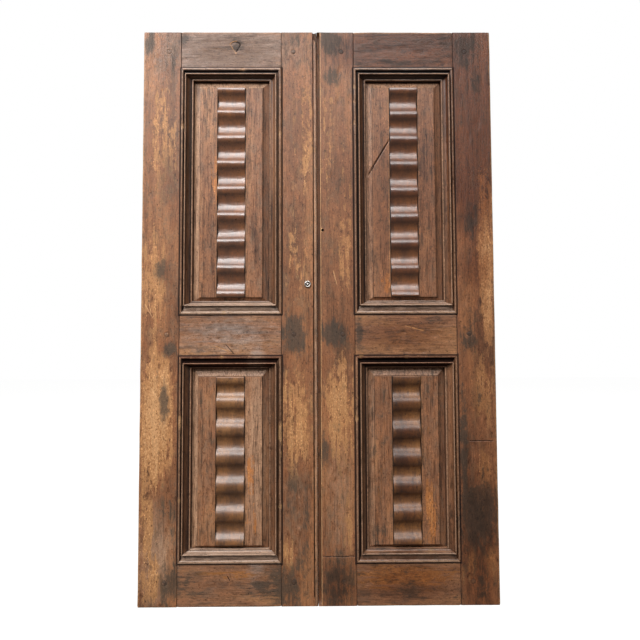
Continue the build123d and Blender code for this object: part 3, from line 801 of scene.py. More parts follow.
def buildStile(side, stile):
    name = f"{side}_{stile}"
    onRight, isMeeting = side == "right", stile == "meeting_stile"
    low, high = corners(name)
    freeOnRight = isMeeting != onRight
    fineAcross, fineAlong = (
        [(middle, *fineLines["peg"]) for middle in sorted({round(peg[axis], 4) for peg in pegPlaces[side]})]
        for axis in (0, 1)
    )
    fineAcross = [line for line in fineAcross if low[0] < line[0] < high[0]]
    if isMeeting and not onRight:
        fineAcross.append((high[0] - fineLines["bead"][0], *fineLines["bead"]))
        fineAlong.append((leafTop - fineLines["beadEnd"][0], *fineLines["beadEnd"]))
    if isMeeting and onRight:
        holeX, holeZ = marks["nailHole"]["place"]
        fineAcross.append((holeX * mm, *fineLines["hole"]))
        fineAcross.append((low[0] + marks["rebate"]["width"] * mm, *fineLines["rebate"]))
        fineAlong.append((holeZ * mm, *fineLines["hole"]))
    fineAlong += [(mark["z"] * mm, *fineLines["split"]) for mark in marks["splits"] if mark["board"] == name]
    fineAcross += scratchLines(name, 0)
    fineAlong += scratchLines(name, 1)
    if isMeeting:
        # the worked edges all but touch in front, so that no light comes through
        meetingX = corners("left_meeting_stile")[1][0] + boardLook["meetingSwell"]
        low[0] = meetingX + boardLook["meetingPlay"] if onRight else low[0]
        high[0] = high[0] if onRight else meetingX
    reach = fineLines["joint"][0]
    fineAcross.append((low[0] + reach if freeOnRight else high[0] - reach, *fineLines["joint"]))
    outside = "gap" if isMeeting else "free"
    meets = ("joint", outside) if freeOnRight else (outside, "joint")
    bevel = boardLook["meetingBevel"] if isMeeting else 0
    backInset = (bevel * (not freeOnRight), bevel * freeOnRight)
    board(name, low, high, "z", meets, fineAcross, fineAlong, backInset)


def buildRail(side, rail):
    name = f"{side}_{rail}_rail"
    low, high = corners(name)
    low[0], high[0] = layout[side]["left"], layout[side]["right"]
    meets = ("free" if rail == "bottom" else "joint", "free" if rail == "top" else "joint")
    fineAcross, fineAlong = [], scratchLines(name, 0)
    if rail != "top":
        fineAcross.append((high[2] - fineLines["lap"][0], *fineLines["lap"]))
    if rail != "bottom":
        fineAcross.append((low[2] + fineLines["joint"][0], *fineLines["joint"]))
    fineAcross += scratchLines(name, 1)
    if name == "left_top_rail":
        knotX, knotZ = marks["railKnot"]["place"]
        fineAcross.append((knotZ * mm, *fineLines["knot"]))
        fineAlong.append((knotX * mm, *fineLines["knot"]))
    board(name, low, high, "x", meets, fineAcross, fineAlong)


for side in sides:
    for stile in ("hanging_stile", "meeting_stile"):
        buildStile(side, stile)
    for rail in ("top", "middle", "bottom"):
        buildRail(side, rail)
print("stiles and rails built")

# Raised panels: a margin under the moulding, a bevel, a small step and a flat field with a bed for the ripple
panelShape = {
    "setback": 12.0, "tongue": 8.0, "margin": 24.0, "bevelSide": 14.0, "bevelEnd": 11.0, "bevelTop": 7.5,
    "bevelHollow": 0.35, "bevelLines": 9, "field": 5.5, "edgeRound": 0.7, "bedWidth": 58.0, "bedDepth": 15.0,
    "back": 24.0, "drop": {"upper": 3.5, "lower": 5.5}, "step": 3.0 * mm,
    "bedLines": (0.6 * mm, 0.25 * mm), "endLines": (0.6 * mm, 0.3 * mm),
    "wave": 0.22 * mm, "waveCell": (18 * mm, 18 * mm, 110 * mm),
    # painted shade at the lip's foot, under the step and on the right bevel; painted sheen on the top and
    # left bevels; rubbed field edges; dirt and a painted highlight beside the ripple
    "lipFootShade": (1.0, 0.9, 0.35), "stepShadow": 0.85, "rightBevelShade": 0.4, "edgeRub": 0.5,
    "bevelSheen": {"top": 1.0, "left": 0.8, "other": 0.1}, "bevelSheenShare": {"left": 1.0, "right": 0.6},
    "besideDirt": 0.5, "besideHighlight": 0.45,
}
panelCrack = {
    "panel": "right_upper_panel", "from": (147, 928), "to": (102, 853), "width": 1.3, "depth": 2.2,
    "taper": (8, 0.3), "sway": 1.6, "swayShare": 0.13,
    "linesAcross": (16 * mm, 17 * mm, 1.0 * mm), "linesUp": (42 * mm, 1.0 * mm),
}


def crackShape(x, z):
    share, away, fade = alongLine(panelCrack["from"], panelCrack["to"], panelCrack["taper"], x, z)
    sway = panelCrack["sway"] * lineNoise(share, panelCrack["swayShare"], seeds["crack"])
    return fade * unit(1 - np.abs(away - np.abs(sway)) / panelCrack["width"])


def panelRings(bevelIn):
    # rings from the back to the field: inset from the opening, depth, darkening (painted shade at the lip's
    # foot and under the step), and the part of the panel
    shape = panelShape
    margin, tongue = np.full(2, shape["margin"]), np.full(2, -shape["tongue"])
    setback, edgeRound = shape["setback"], shape["edgeRound"]
    lipFootShade = shape["lipFootShade"]
    rings = [
        (tongue, shape["back"], 0, "tongue"), (tongue, setback, 0, "tongue"),
        (margin - 1.0, setback, lipFootShade[0], "margin"), (margin + 0.2, setback - 0.1, lipFootShade[1], "margin"),
    ]
    shares = np.linspace(0.12, 1, shape["bevelLines"])
    for share in shares[:-1]:
        level = setback + share * (shape["bevelTop"] - setback)
        level += shape["bevelHollow"] * math.sin(math.pi * share)
        dirt = lipFootShade[2] if share == shares[0] else 0
        rings.append((margin + share * (bevelIn - margin), level, dirt, "bevel"))
    rings.append((bevelIn, shape["bevelTop"], shape["stepShadow"], "step"))
    rings.append((bevelIn + 0.15, shape["field"] + edgeRound, 0, "edge"))
    rings.append((bevelIn + 0.35 * edgeRound, shape["field"] + 0.25 * edgeRound, 0, "edge"))
    return rings


def panelFaces(loops, aroundX, aroundZ, countX, countZ):
    # a cap at the back, quads between the rings, and the field's grid inside the last one
    size = len(aroundX)
    grid = loops * size
    faces = [list(range(size))]
    for start in range(0, grid - size, size):
        faces += loopQuads(start, start + size, np.arange(size))
    last = np.arange(grid - size, grid)
    rim = grid + aroundZ * countX + aroundX
    faces += np.stack([last, np.roll(last, -1), np.roll(rim, -1), rim], -1).tolist()
    i, j = (a.ravel() for a in np.meshgrid(np.arange(countX - 1), np.arange(countZ - 1)))
    cell = grid + j * countX + i
    faces += np.stack([cell, cell + 1, cell + countX + 1, cell + countX], -1).tolist()
    return faces


def buildPanel(side, row):
    name = f"{side}_{row}_panel"
    shape = panelShape
    left, right = layout[side]["left"], layout[side]["right"]
    bottom, top = layout[side][row]
    bevelIn = np.array([shape["margin"] + shape["bevelSide"], shape["margin"] + shape["bevelEnd"]])
    fieldSize = np.array([right - left, top - bottom]) / mm - 2 * bevelIn
    bedEdge = (fieldSize[0] - shape["bedWidth"]) / 2
    drop = shape["drop"][row] * mm
    cracked = name == panelCrack["panel"]
    endReach = shape["endLines"][0]
    fine = [(bedEdge * mm, *shape["bedLines"]), ((fieldSize[0] - bedEdge) * mm, *shape["bedLines"])]
    fineUp = [(endReach, *shape["endLines"]), (fieldSize[1] * mm - endReach, *shape["endLines"])]
    if cracked:
        middle = (panelCrack["from"][1] + panelCrack["to"][1]) / 2 * mm - bottom - bevelIn[1] * mm
        fine.insert(0, panelCrack["linesAcross"])
        fineUp.insert(0, (middle, *panelCrack["linesUp"]))
    shareX = spaced(0, fieldSize[0] * mm, shape["step"], fine) / (fieldSize[0] * mm)
    shareZ = spaced(0, fieldSize[1] * mm, shape["step"], fineUp) / (fieldSize[1] * mm)
    countX, countZ = len(shareX), len(shareZ)
    around = [(i, 0) for i in range(countX)] + [(countX - 1, j) for j in range(1, countZ)]
    around += [(i, countZ - 1) for i in range(countX - 2, -1, -1)]
    around += [(0, j) for j in range(countZ - 2, 0, -1)]
    aroundX, aroundZ = np.array(around).T
    inBedX = np.abs(shareX - 0.5) * fieldSize[0] < shape["bedWidth"] / 2 - 0.05
    atEnd = inBedX[aroundX] & ((aroundZ == 0) | (aroundZ == countZ - 1))
    # painted sheen on the top and left bevels, which face the light, less on the right leaf
    bevelSheen = np.where(aroundX == 0, shape["bevelSheen"]["left"], shape["bevelSheen"]["other"])
    bevelSheen = np.where(aroundZ == countZ - 1, shape["bevelSheen"]["top"], bevelSheen) * shape["bevelSheenShare"][side]
    points = []
    masks = {"grimeAndShade": [], "rubAndHighlight": [], "bloom": []}
    rings = panelRings(bevelIn)
    for inset, level, dirt, part in rings:
        sunk = drop * unit((inset[1] - shape["margin"]) / shape["bevelEnd"])
        x = left + inset[0] * mm + shareX[aroundX] * (right - left - 2 * inset[0] * mm)
        z = bottom - sunk + inset[1] * mm + shareZ[aroundZ] * (top - bottom - 2 * inset[1] * mm)
        levels = np.where(atEnd, shape["bevelTop"], level) if part == "edge" else np.full(len(x), level)
        points.append(np.stack([x, faceY + levels * mm, z], 1))
        onBevel = part == "bevel"
        # painted shade on the right bevel, which faces away from the light
        masks["grimeAndShade"].append(np.maximum(dirt, onBevel * shape["rightBevelShade"] * (aroundX == countX - 1)))
        masks["rubAndHighlight"].append(np.full(len(x), shape["edgeRub"] * (part == "edge")))
        masks["bloom"].append(onBevel * bevelSheen)
    inset = (bevelIn + shape["edgeRound"]) * mm
    gridX = left + inset[0] + shareX * (right - left - 2 * inset[0])
    gridZ = bottom - drop + inset[1] + shareZ * (top - bottom - 2 * inset[1])
    x, z = (a.ravel() for a in np.meshgrid(gridX, gridZ))
    rowNumber = np.repeat(np.arange(countZ), countX)
    overBed = np.tile(inBedX, countZ)
    inBed = overBed & (rowNumber > 0) & (rowNumber < countZ - 1)
    levels = np.where(inBed, shape["bedDepth"], np.where(overBed, shape["bevelTop"], shape["field"]))
    points.append(np.stack([x, faceY + levels * mm, z], 1))
    # dirt beside the ripple's bed, with a painted highlight on the field's edge there
    beside = np.abs(np.abs(x - (left + right) / 2) / mm - shape["bedWidth"] / 2)
    masks["grimeAndShade"].append(np.where(inBed, 1.0, shape["besideDirt"] * np.exp(-beside / 1.5)))
    masks["rubAndHighlight"].append(np.where(inBed, 0.0, shape["besideHighlight"] * band(beside, 1.5, 2.0)))
    masks["bloom"].append(np.zeros(len(x)))
    points = np.concatenate(points)
    masks = {key: np.concatenate(values) for key, values in masks.items()}
    faces = panelFaces(len(rings), aroundX, aroundZ, countX, countZ)
    front = np.ones(len(points))
    front[:2 * len(around)] = 0
    wave = smoothNoise(points, shape["waveCell"], seeds["panel"] + pieceCount)
    points[:, 1] -= front * shape["wave"] * wave
    if cracked:
        crack = front * crackShape(points[:, 0], points[:, 2])
        points[:, 1] += crack * panelCrack["depth"] * mm
        masks["grimeAndShade"] = np.maximum(masks["grimeAndShade"], crack)
    makePiece(name, points, faces, masks, "panel", f"{side}_leaf")


# Carved ripple strips: crests and troughs in turn, with other places and shares on each strip
rippleShape = {
    "left_upper": {"waves": 8, "lead": 2.0, "tail": 4.0, "crestShare": 0.32, "wood": "ripple"},
    "right_upper": {"waves": 8, "lead": -1.5, "tail": 1.0, "crestShare": 0.36, "wood": "rippleDull"},
    "left_lower": {"waves": 6, "lead": 5.5, "tail": 3.5, "crestShare": 0.48, "wood": "rippleWorn"},
    "right_lower": {"waves": 6, "lead": 0.0, "tail": 3.0, "crestShare": 0.5, "wood": "rippleGreasy"},
    "height": 10.0, "firstCrest": 4.5,
    "step": 1.3 * mm, "acrossStep": 2.6 * mm, "sideLines": 5, "backLines": 6,
    "topRound": 1.5, "footRound": 3.0, "sideRound": 0.9 * mm, "sideChange": 0.5, "sideCell": 14 * mm,
    "topLines": (1.5 * mm, 0.4 * mm), "footLines": (3.5 * mm, 0.5 * mm),
    "placeChange": 1.3, "heightChange": 0.5, "tilt": 0.5, "endPlay": 0.4 * mm,
    "chisel": 0.16 * mm, "chiselCell": (7 * mm, 40 * mm, 3.2 * mm),
    # dirt on the sides and in the troughs, painted shade on the slopes facing down, rubbed crests, and a
    # painted highlight on the rounded top end
    "sideDirt": 0.9, "troughDirt": 0.2, "underShade": 0.8, "crestRub": 0.1, "topHighlight": 0.7, "topReach": 2.5,
}


def arcDrop(half, turn, away):
    # how far an arc that turns so much over its half length has dropped at a distance from its middle
    radius = half / np.sin(turn)
    return radius - np.sqrt(np.clip(radius ** 2 - away ** 2, 0, None))


def waveDrop(down, strip, x, rng):
    # how far the surface lies below a crest, in millimetres, at each distance down the strip
    shape, use = rippleShape, rippleShape[strip]
    spacing = (down.max() + use["lead"] - use["tail"]) / use["waves"]
    crests = np.arange(-1, use["waves"] + 2) * spacing - use["lead"]
    crests = crests + rng.uniform(-1, 1, len(crests)) * shape["placeChange"]
    crests[1] = shape["firstCrest"]  # a half crest is left at the top end
    heights = shape["height"] + rng.uniform(-1, 1, len(crests)) * shape["heightChange"]
    tilts = rng.uniform(-1, 1, len(crests)) * shape["tilt"]
    drop = np.zeros((len(down), len(x)))
    for column, share in enumerate(x):
        shifted = crests + tilts * share
        index = np.clip(np.searchsorted(shifted, down) - 1, 0, len(crests) - 2)
        gap = shifted[index + 1] - shifted[index]
        along = (down - shifted[index]) / gap
        along = np.minimum(along, 1 - along) * gap
        height = (heights[index] + heights[index + 1]) / 2
        turn = 2 * np.arctan(2 * height / gap)
        crestHalf = gap * use["crestShare"] / 2
        onCrest = arcDrop(crestHalf, turn, along)
        onTrough = height - arcDrop(gap / 2 - crestHalf, turn, gap / 2 - along)
        drop[:, column] = np.where(along < crestHalf, onCrest, onTrough)
    return drop


def buildRipple(side, row):
    name = f"{side}_{row}_ripple"
    shape = rippleShape
    low, high = corners(name)
    drop = panelShape["drop"][row] * mm
    low[2], high[2] = low[2] + shape["endPlay"] - drop, high[2] - shape["endPlay"] - drop
    width, depth = high[0] - low[0], high[1] - low[1]
    rng = np.random.default_rng(seeds["ripple"] + pieceCount)
    foot, top = shape["footLines"], shape["topLines"]
    ends = [(low[2] + foot[0], *foot), (high[2] - top[0], *top)]
    stations = spaced(low[2], high[2], shape["step"], ends)
    change = [lineNoise(stations, shape["sideCell"], seeds["rippleSide"] + i) for i in range(4)]
    radii = shape["sideRound"] * (1 + shape["sideChange"] * np.stack(change, 1))
    frontLines = spaced(0, width, shape["acrossStep"])[1:-1]
    section, front = roundedSection(
        width, depth, radii, frontLines, shape["sideLines"], shape["backLines"],
    )[:2]
    count, around = section.shape[:2]
    down = (high[2] - stations) / mm
    fall = waveDrop(down, f"{side}_{row}", section[0, :, 0] / width * 2 - 1, rng)
    for gap, radius in ((down, shape["topRound"]), (down.max() - down, shape["footRound"])):
        short = np.clip(radius - gap, 0, radius)
        fall += (radius - np.sqrt(radius ** 2 - short ** 2))[:, None]
    points = np.zeros((count, around, 3))
    points[..., 0] = low[0] + section[..., 0]
    points[..., 1] = low[1] + fall * mm + section[..., 1] / depth * (depth - fall * mm)
    points[..., 2] = stations[:, None]
    flat = points.reshape(-1, 3)
    chisel = smoothNoise(flat, shape["chiselCell"], seeds["chisel"] + pieceCount)
    flat[:, 1] -= np.tile(front, count) * shape["chisel"] * chisel
    crest = 1 - ((fall - fall.min()) / (fall.max() - fall.min())).reshape(-1)
    # painted shade on the slopes that face down
    under = np.clip(np.gradient(fall, down, axis=0), 0, None)
    under = (under / under.max()).reshape(-1) ** 1.5
    sideDirt = np.tile(np.where(front > 0.9, 0, shape["sideDirt"]), count)
    dirt = np.maximum(shape["troughDirt"] * (1 - crest) ** 3, shape["underShade"] * under)
    # painted highlight along the rounded top end
    nearTop = np.repeat(unit(1 - down / shape["topReach"]), around)
    masks = {
        "grimeAndShade": np.maximum(sideDirt, dirt),
        "rubAndHighlight": np.maximum(shape["crestRub"] * crest ** 3, shape["topHighlight"] * nearTop),
    }
    wood = shape[f"{side}_{row}"]["wood"]
    makePiece(name, flat, loftFaces(count, around), masks, wood, f"{side}_leaf")


for side in sides:
    for row in rows:
        buildPanel(side, row)
        buildRipple(side, row)
print("panels and ripples built")

# Moulding: bead, groove, ridge, cove and lip across its width, worn soft along the ridges
mouldingShape = {
    "width": 24.0, "setback": 12.0, "beadWidth": 5.6, "beadBase": 0.3, "beadCrown": 2.2, "groove": 3.4,
    "grooveDrop": 2.0, "ridgeWidth": 2.6, "ridgeTop": 7.0, "ridgeSide": 5.6, "filletWidth": 1.0,
    "filletHeight": 3.0, "coveHollow": 2.0, "lipWidth": 3.0, "lipDepth": 4.5, "lipStep": 0.9,
    "step": 5 * mm, "mitreGap": 0.28 * mm, "sway": 0.11 * mm, "swayAlong": 90 * mm,
    "ridgeShift": {"top": 4.0, "bottom": 4.4, "outer": -0.6, "inner": 0.0},
    "beadShift": {"top": 0.0, "bottom": -2.2, "outer": 0.0, "inner": 0.0},
    # how far groove and ridge are rubbed to one level
    "worn": {"top": 0.0, "bottom": 0.55, "outer": 0.0, "inner": 0.0}, "wornLevel": 2.6, "wornFade": 12 * mm,
    # the bottom members' beads get more, a painted highlight
    "beadRubAndHighlight": {"top": 0.6, "bottom": 0.85, "outer": 0.6, "inner": 0.6},
    "lipRub": {"top": 1.0, "bottom": 0.2, "outer": 1.0, "inner": 0.8},
    "rubAndHighlight": 0.65,
    "dirt": {"top": 0.48, "bottom": 0.0, "outer": 0.0, "inner": 0.0},  # least darkening outside the rubbed lines: painted shade on the top members, which face down
    # painted shade: the bottom members, facing up, get little of the hollows' darkening
    "dirtAndShadeShare": {"top": 1.0, "bottom": 0.25, "outer": 1.0, "inner": 1.0},
    "rightLitShare": 0.48,  # painted light: the members on the right of a panel face the light and get less of the darkening
    # painted sheen on the bottom members, which face up to the light
    "sillSheen": {"left_upper": 1.3, "left_lower": 1.1, "right_upper": 0.7, "right_lower": 0.35},
    "ridgeWear": 0.55, "ridgeWearAlong": 30 * mm,
    "chips": 3, "chipLength": (6, 22), "chipDepth": (0.6, 1.6), "chipCell": (2.2 * mm, 2.2 * mm, 5 * mm),
    "chipRagged": 0.4, "chipClean": 0.6, "chipOchre": 0.7,
    "knownChips": {  # height, half length and depth in millimetres
        "left_lower_moulding_inner": [(341, 38, 2.0)], "left_lower_moulding_outer": [(360, 17, 1.8)],
    },
}


def mouldingSection():
    # points across the member from the opening's edge: place, height, how dark (dirt and painted shade in the
    # hollows) and how pale (rubbed wood and painted highlight on bead, ridge and lip) each one is
    use = mouldingShape
    width, setback, beadWidth = use["width"], use["setback"], use["beadWidth"]
    ridgeStart = beadWidth + use["groove"]
    ridgeEnd = ridgeStart + use["ridgeWidth"]
    coveStart, coveEnd = ridgeEnd + use["filletWidth"], width - use["lipWidth"]
    lipTop = use["lipStep"] - use["lipDepth"]
    outline = [(0.05, -setback, 1, 0), (0.05, -2, 1, 0), (0.05, -0.3, 1, 0), (0, 0.05, 1, 0)]
    for angle in np.radians(np.linspace(165, 0, 10)):
        rise = math.sin(angle)
        across = beadWidth / 2 * (1 + math.cos(angle))
        outline.append((across, use["beadBase"] + use["beadCrown"] * rise, 0.9 * (1 - rise ** 3), rise ** 5))
    outline += [
        (beadWidth + 0.1, -use["grooveDrop"], 1, 0), (ridgeStart - 0.1, -use["grooveDrop"], 1, 0),
        (ridgeStart, use["beadBase"] + 1, 0.9, 0), (ridgeStart, use["ridgeSide"], 0.25, 0.3),
    ]
    for angle in np.radians((150, 115, 90, 65, 30)):
        across = ridgeStart + use["ridgeWidth"] / 2 * (1 + math.cos(angle))
        level = use["ridgeSide"] + (use["ridgeTop"] - use["ridgeSide"]) * math.sin(angle)
        outline.append((across, level, 0, 1))
    outline += [
        (ridgeEnd, use["ridgeSide"], 0.25, 0.4), (ridgeEnd, use["filletHeight"] + 0.2, 0.9, 0),
        (coveStart, use["filletHeight"], 0.5, 0.25),
    ]
    start, end = np.array([coveStart, use["filletHeight"]]), np.array([coveEnd, -use["lipDepth"]])
    span = end - start
    normal = np.array([span[1], -span[0]]) / np.linalg.norm(span)
    for share in np.linspace(0.1, 1, 9):
        spot = start + share * span + normal * use["coveHollow"] * 4 * share * (1 - share)
        outline.append((*spot, 0.3 + 0.6 * share ** 4, 0))
    outline += [
        (coveEnd + 0.15, lipTop - 0.3, 0.4, 0.4), (coveEnd + 0.7, lipTop, 0, 1),
        (width - 1.2, lipTop + 0.05, 0, 1), (width - 0.3, lipTop - 0.35, 0, 0.7),
        (width, lipTop - 1.0, 0.05, 0.4), (width, -8, 0.1, 0.1), (width, -setback, 0.9, 0),
    ]
    return np.array(outline).T


sectionPlace, sectionHeight, sectionDirtAndShade, sectionRubAndHighlight = mouldingSection()
ridgeFoot = sum(mouldingShape[part] for part in ("beadWidth", "groove", "ridgeWidth", "filletWidth"))


def memberAcross(member):
    # on the bead, which alone stands above the frame, each member is stretched by how far it laps over,
    # and the ridge of the level members lies further in than that of the upright ones
    use = mouldingShape
    onLap = (sectionPlace <= use["beadWidth"]) & (sectionHeight > 0)
    reach = np.where(onLap, unit(1 - sectionPlace / use["beadWidth"]), 0)
    turns = (0, use["beadWidth"], use["beadWidth"] + use["groove"], ridgeFoot, use["width"] - use["lipWidth"])
    ridgeShift = use["ridgeShift"][member]
    shift = np.interp(sectionPlace, turns, (0, use["beadShift"][member], ridgeShift, ridgeShift, 0))
    return (sectionPlace - beadLap[member] * reach + shift) * mm


def buildMoulding(side, row, member):
    name = f"{side}_{row}_moulding_{member}"
    use = mouldingShape
    place = layout[side]
    bottom, top = place[row]
    isLevel = member in ("top", "bottom")
    start, end = (place["left"], place["right"]) if isLevel else (bottom, top)
    first, last = place["uprights"] if isLevel else ("bottom", "top")
    count, around = round((end - start) / use["step"]) + 1, len(sectionPlace)
    begin = start + memberAcross(first) + use["mitreGap"]
    finish = end - memberAcross(last) - use["mitreGap"]
    along = begin + np.linspace(0, 1, count)[:, None] * (finish - begin)
    # between the mitres the ridge and groove of a worn member come nearer to one level
    fromMitre = unit(np.minimum(along - begin, finish - along) / use["wornFade"])
    rubbable = (sectionPlace > use["beadWidth"]) & (sectionPlace <= ridgeFoot)
    worn = use["worn"][member] * rubbable * fromMitre
    lengthAxis, acrossAxis = (0, 2) if isLevel else (2, 0)
    origin = {"top": top, "bottom": bottom}.get(member, place.get(member))
    inward = 1 if member in ("bottom", place["uprights"][0]) else -1
    points = np.zeros((count, around, 3))
    points[..., lengthAxis] = along
    points[..., acrossAxis] = origin + inward * memberAcross(member)
    points[..., 1] = faceY - (sectionHeight + worn * (use["wornLevel"] - sectionHeight)) * mm
    flat = points.reshape(-1, 3)
    seed = seeds["moulding"] + 7 * pieceCount
    shown = np.tile(sectionHeight > -use["setback"] + 0.5, count)
    onLip = sectionPlace > use["width"] - use["lipWidth"]
    rubbed = np.tile(sectionRubAndHighlight * np.where(onLip, use["lipRub"][member], 1), count)
    sway = use["sway"] * smoothNoise(flat, (use["swayAlong"],) * 3, seed)
    rubbedOff = use["ridgeWear"] * mm * unit(smoothNoise(flat, (use["ridgeWearAlong"],) * 3, seed + 1))
    flat[:, 1] += shown * (rubbedOff * rubbed - sway)
    rng = np.random.default_rng(seed)
    chips = []
    for chip in range(use["chips"]):
        chipPlace, chipLength = rng.uniform(start, end) / mm, rng.uniform(*use["chipLength"])
        chips.append((chipPlace, chipLength / 2, rng.uniform(*use["chipDepth"])))
    onBead = np.tile(sectionPlace <= use["beadWidth"], count) & shown
    bare = np.zeros(len(flat))
    for chipPlace, reach, chipDeep in chips + use["knownChips"].get(name, []):
        near = onBead * unit(1 - (np.abs(flat[:, lengthAxis] / mm - chipPlace) / reach) ** 2)
        ragged = 1 - use["chipRagged"] * (1 - smoothNoise(flat, use["chipCell"], seed + 2))
        flat[:, 1] += chipDeep * mm * near * ragged
        bare = np.maximum(bare, near * min(1.0, chipDeep / use["chipDepth"][1]))
    # painted light: less darkening in the hollows of members that face up or towards the light
    share = use["dirtAndShadeShare"][member] * (use["rightLitShare"] if member == place["uprights"][1] else 1)
    dirt = np.maximum(sectionDirtAndShade * share, use["dirt"][member] * (1 - sectionRubAndHighlight))
    masks = {
        "grimeAndShade": np.tile(dirt, count) * (1 - use["chipClean"] * bare), "ochre": use["chipOchre"] * bare,
        "rubAndHighlight": rubbed * np.where(onBead, use["beadRubAndHighlight"][member], use["rubAndHighlight"]),
    }
    # painted sheen on the bottom members
    if member == "bottom":
        masks["bloom"] = np.full(len(flat), use["sillSheen"][f"{side}_{row}"])
    kind = "mouldingLevel" if isLevel else "mouldingUpright"
    # painted shade: the lower panels' top members, which face down, take the darker copy
    kind = "mouldingShadedUnder" if member == "top" and row == "lower" else kind
    makePiece(name, flat, loftFaces(count, around), masks, kind, f"{side}_leaf")


for side in sides:
    for row in rows:
        for member in members:
            buildMoulding(side, row, member)
print("mouldings built")

# Riven pegs: eight-sided, driven through and left a touch proud with a rounded end
pegShape = {"sides": 8, "proud": 0.2 * mm, "shoulder": 0.2 * mm, "dirt": 0.12}


def buildPegs(side):
    name = f"{side}_pegs"
    low, high = corners(name)
    radius = high[0] - max(peg[0] for peg in pegPlaces[side])
    count, proud = pegShape["sides"], pegShape["proud"]
    ends = [(-proud, 0.45), (-proud * 0.7, 0.8), (pegShape["shoulder"], 1.0)]  # depth and share of the radius
    depths = [(low[1] + d, s) for d, s in ends] + [(high[1] - d, s) for d, s in reversed(ends)]
    points, faces = [], []
    for number, (x, z) in enumerate(pegPlaces[side]):
        turns = (np.arange(count) + 0.5 + 0.2 * math.sin(number * 2.3)) * 2 * math.pi / count
        first = number * len(depths) * count
        points += [ringPoints(x, y, z, radius * share, turns) for y, share in depths]
        faces += [[i + first for i in face] for face in loftFaces(len(depths), count)]
    flat = np.concatenate(points)
    masks = {"grimeAndShade": np.full(len(flat), pegShape["dirt"])}
    makePiece(name, flat, faces, masks, "peg", f"{side}_leaf")


for side in sides:
    buildPegs(side)

# Latch boss: a pressed ring with a sunk face and a small rivet in its middle, seen end on
bossShape = {"segments": 56, "shank": 18.0, "dent": 0.12, "dentFrom": 3}


def buildBoss():
    low, high = corners("latch_boss")
    middle = (low + high) / 2
    radius = (high[0] - low[0]) / 2 / mm
    top = (faceY - low[1]) / mm
    outline = [  # radius, height above the stile, dirt
        (2.0, -bossShape["shank"], 1), (2.0, -0.4, 1), (radius - 0.5, -0.4, 1), (radius - 0.1, 0.3, 0.8),
        (radius, top * 0.45, 0.3), (radius - 0.25, top * 0.8, 0), (radius - 0.8, top * 0.98, 0),
        (radius - 1.5, top, 0), (radius - 2.1, top * 0.9, 0.1), (radius - 2.5, top * 0.62, 0.6),
        (radius - 2.8, top * 0.46, 1), (2.4, top * 0.44, 1), (2.0, top * 0.5, 0.8), (1.7, top * 0.78, 0.1),
        (1.1, top * 0.9, 0), (0.4, top * 0.93, 0),
    ]
    turns = np.arange(bossShape["segments"]) * 2 * math.pi / bossShape["segments"]
    dent = bossShape["dent"] * np.sin(3 * turns + 0.6)
    loops = []
    for out, up, dirt in outline:
        dented = out + dent * (out > bossShape["dentFrom"])
        loops.append(ringPoints(middle[0], faceY - up * mm, middle[2], dented * mm, turns))
    masks = {"grimeAndShade": np.repeat([dirt for out, up, dirt in outline], len(turns))}
    faces = loftFaces(len(loops), len(turns))
    makePiece("latch_boss", np.concatenate(loops), faces, masks, "boss", "left_leaf")


buildBoss()
print("pegs and boss built")

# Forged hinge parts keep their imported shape, with the sharp edges eased
ironEase = {
    "hinge_eye": 0.5 * mm, "hinge_pintle": 0.5 * mm, "hinge_nails": 0.2 * mm,
    "weld": 0.002 * mm, "flat": math.radians(0.5), "sharp": math.radians(30),
}


def easeIron(node, kind, body):
    whole = bmesh.new()
    whole.from_mesh(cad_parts[node].data)
    bmesh.ops.remove_doubles(whole, verts=whole.verts, dist=ironEase["weld"])
    bmesh.ops.dissolve_limit(whole, angle_limit=ironEase["flat"], verts=whole.verts, edges=whole.edges)
    hard = [e for e in whole.edges if len(e.link_faces) == 2 and e.calc_face_angle(0) > ironEase["sharp"]]
    bmesh.ops.bevel(
        whole, geom=hard, offset=ironEase[kind], segments=2, profile=0.5, affect="EDGES", clamp_overlap=True,
    )
    points = np.array([v.co[:] for v in whole.verts])
    whole.verts.index_update()
    faces = [[v.index for v in face.verts] for face in whole.faces]
    whole.free()
    makePiece(node, points, faces, {}, "iron", body)


for side in sides:
    for row in rows:
        easeIron(f"{side}_{row}_hinge_eye", "hinge_eye", f"{side}_leaf")
        easeIron(f"{side}_{row}_hinge_pintle", "hinge_pintle", "jamb_pintles")
    easeIron(f"{side}_hinge_nails", "hinge_nails", f"{side}_leaf")
print("hinges built, pieces in all:", pieceCount)

# Studio: a pale floor, three soft lamps in front and one behind, and a white surround
studio = {
    "floorHalf": 9.0, "floorColor": "#f1efed", "floorBounce": "#4a4641",
    "floorWhite": 0.84, "floorGlow": 1.12,
    "lamps": {
        "softKey": {"azimuth": -48, "elevation": 40, "distance": 3.0, "size": (1.1, 1.1), "power": 82},
        "softTop": {"azimuth": 0, "elevation": 38, "distance": 4.4, "size": (2.5, 0.8), "power": 97},
        "softCeiling": {"azimuth": 0, "elevation": 60, "distance": 4.2, "size": (2.6, 2.0), "power": 78},
        "softBack": {"azimuth": 160, "elevation": 48, "distance": 4.4, "size": (2.0, 2.0), "power": 70},
    },
    "target": (0.0, faceY, 0.62), "fill": 0.3, "room": 0.12,
    "camera": {
        "place": (-0.0057, -1.168, 0.499), "turn": (92.983, 0.22, -0.451), "focalPixels": 575, "frame": 640,
    },
}


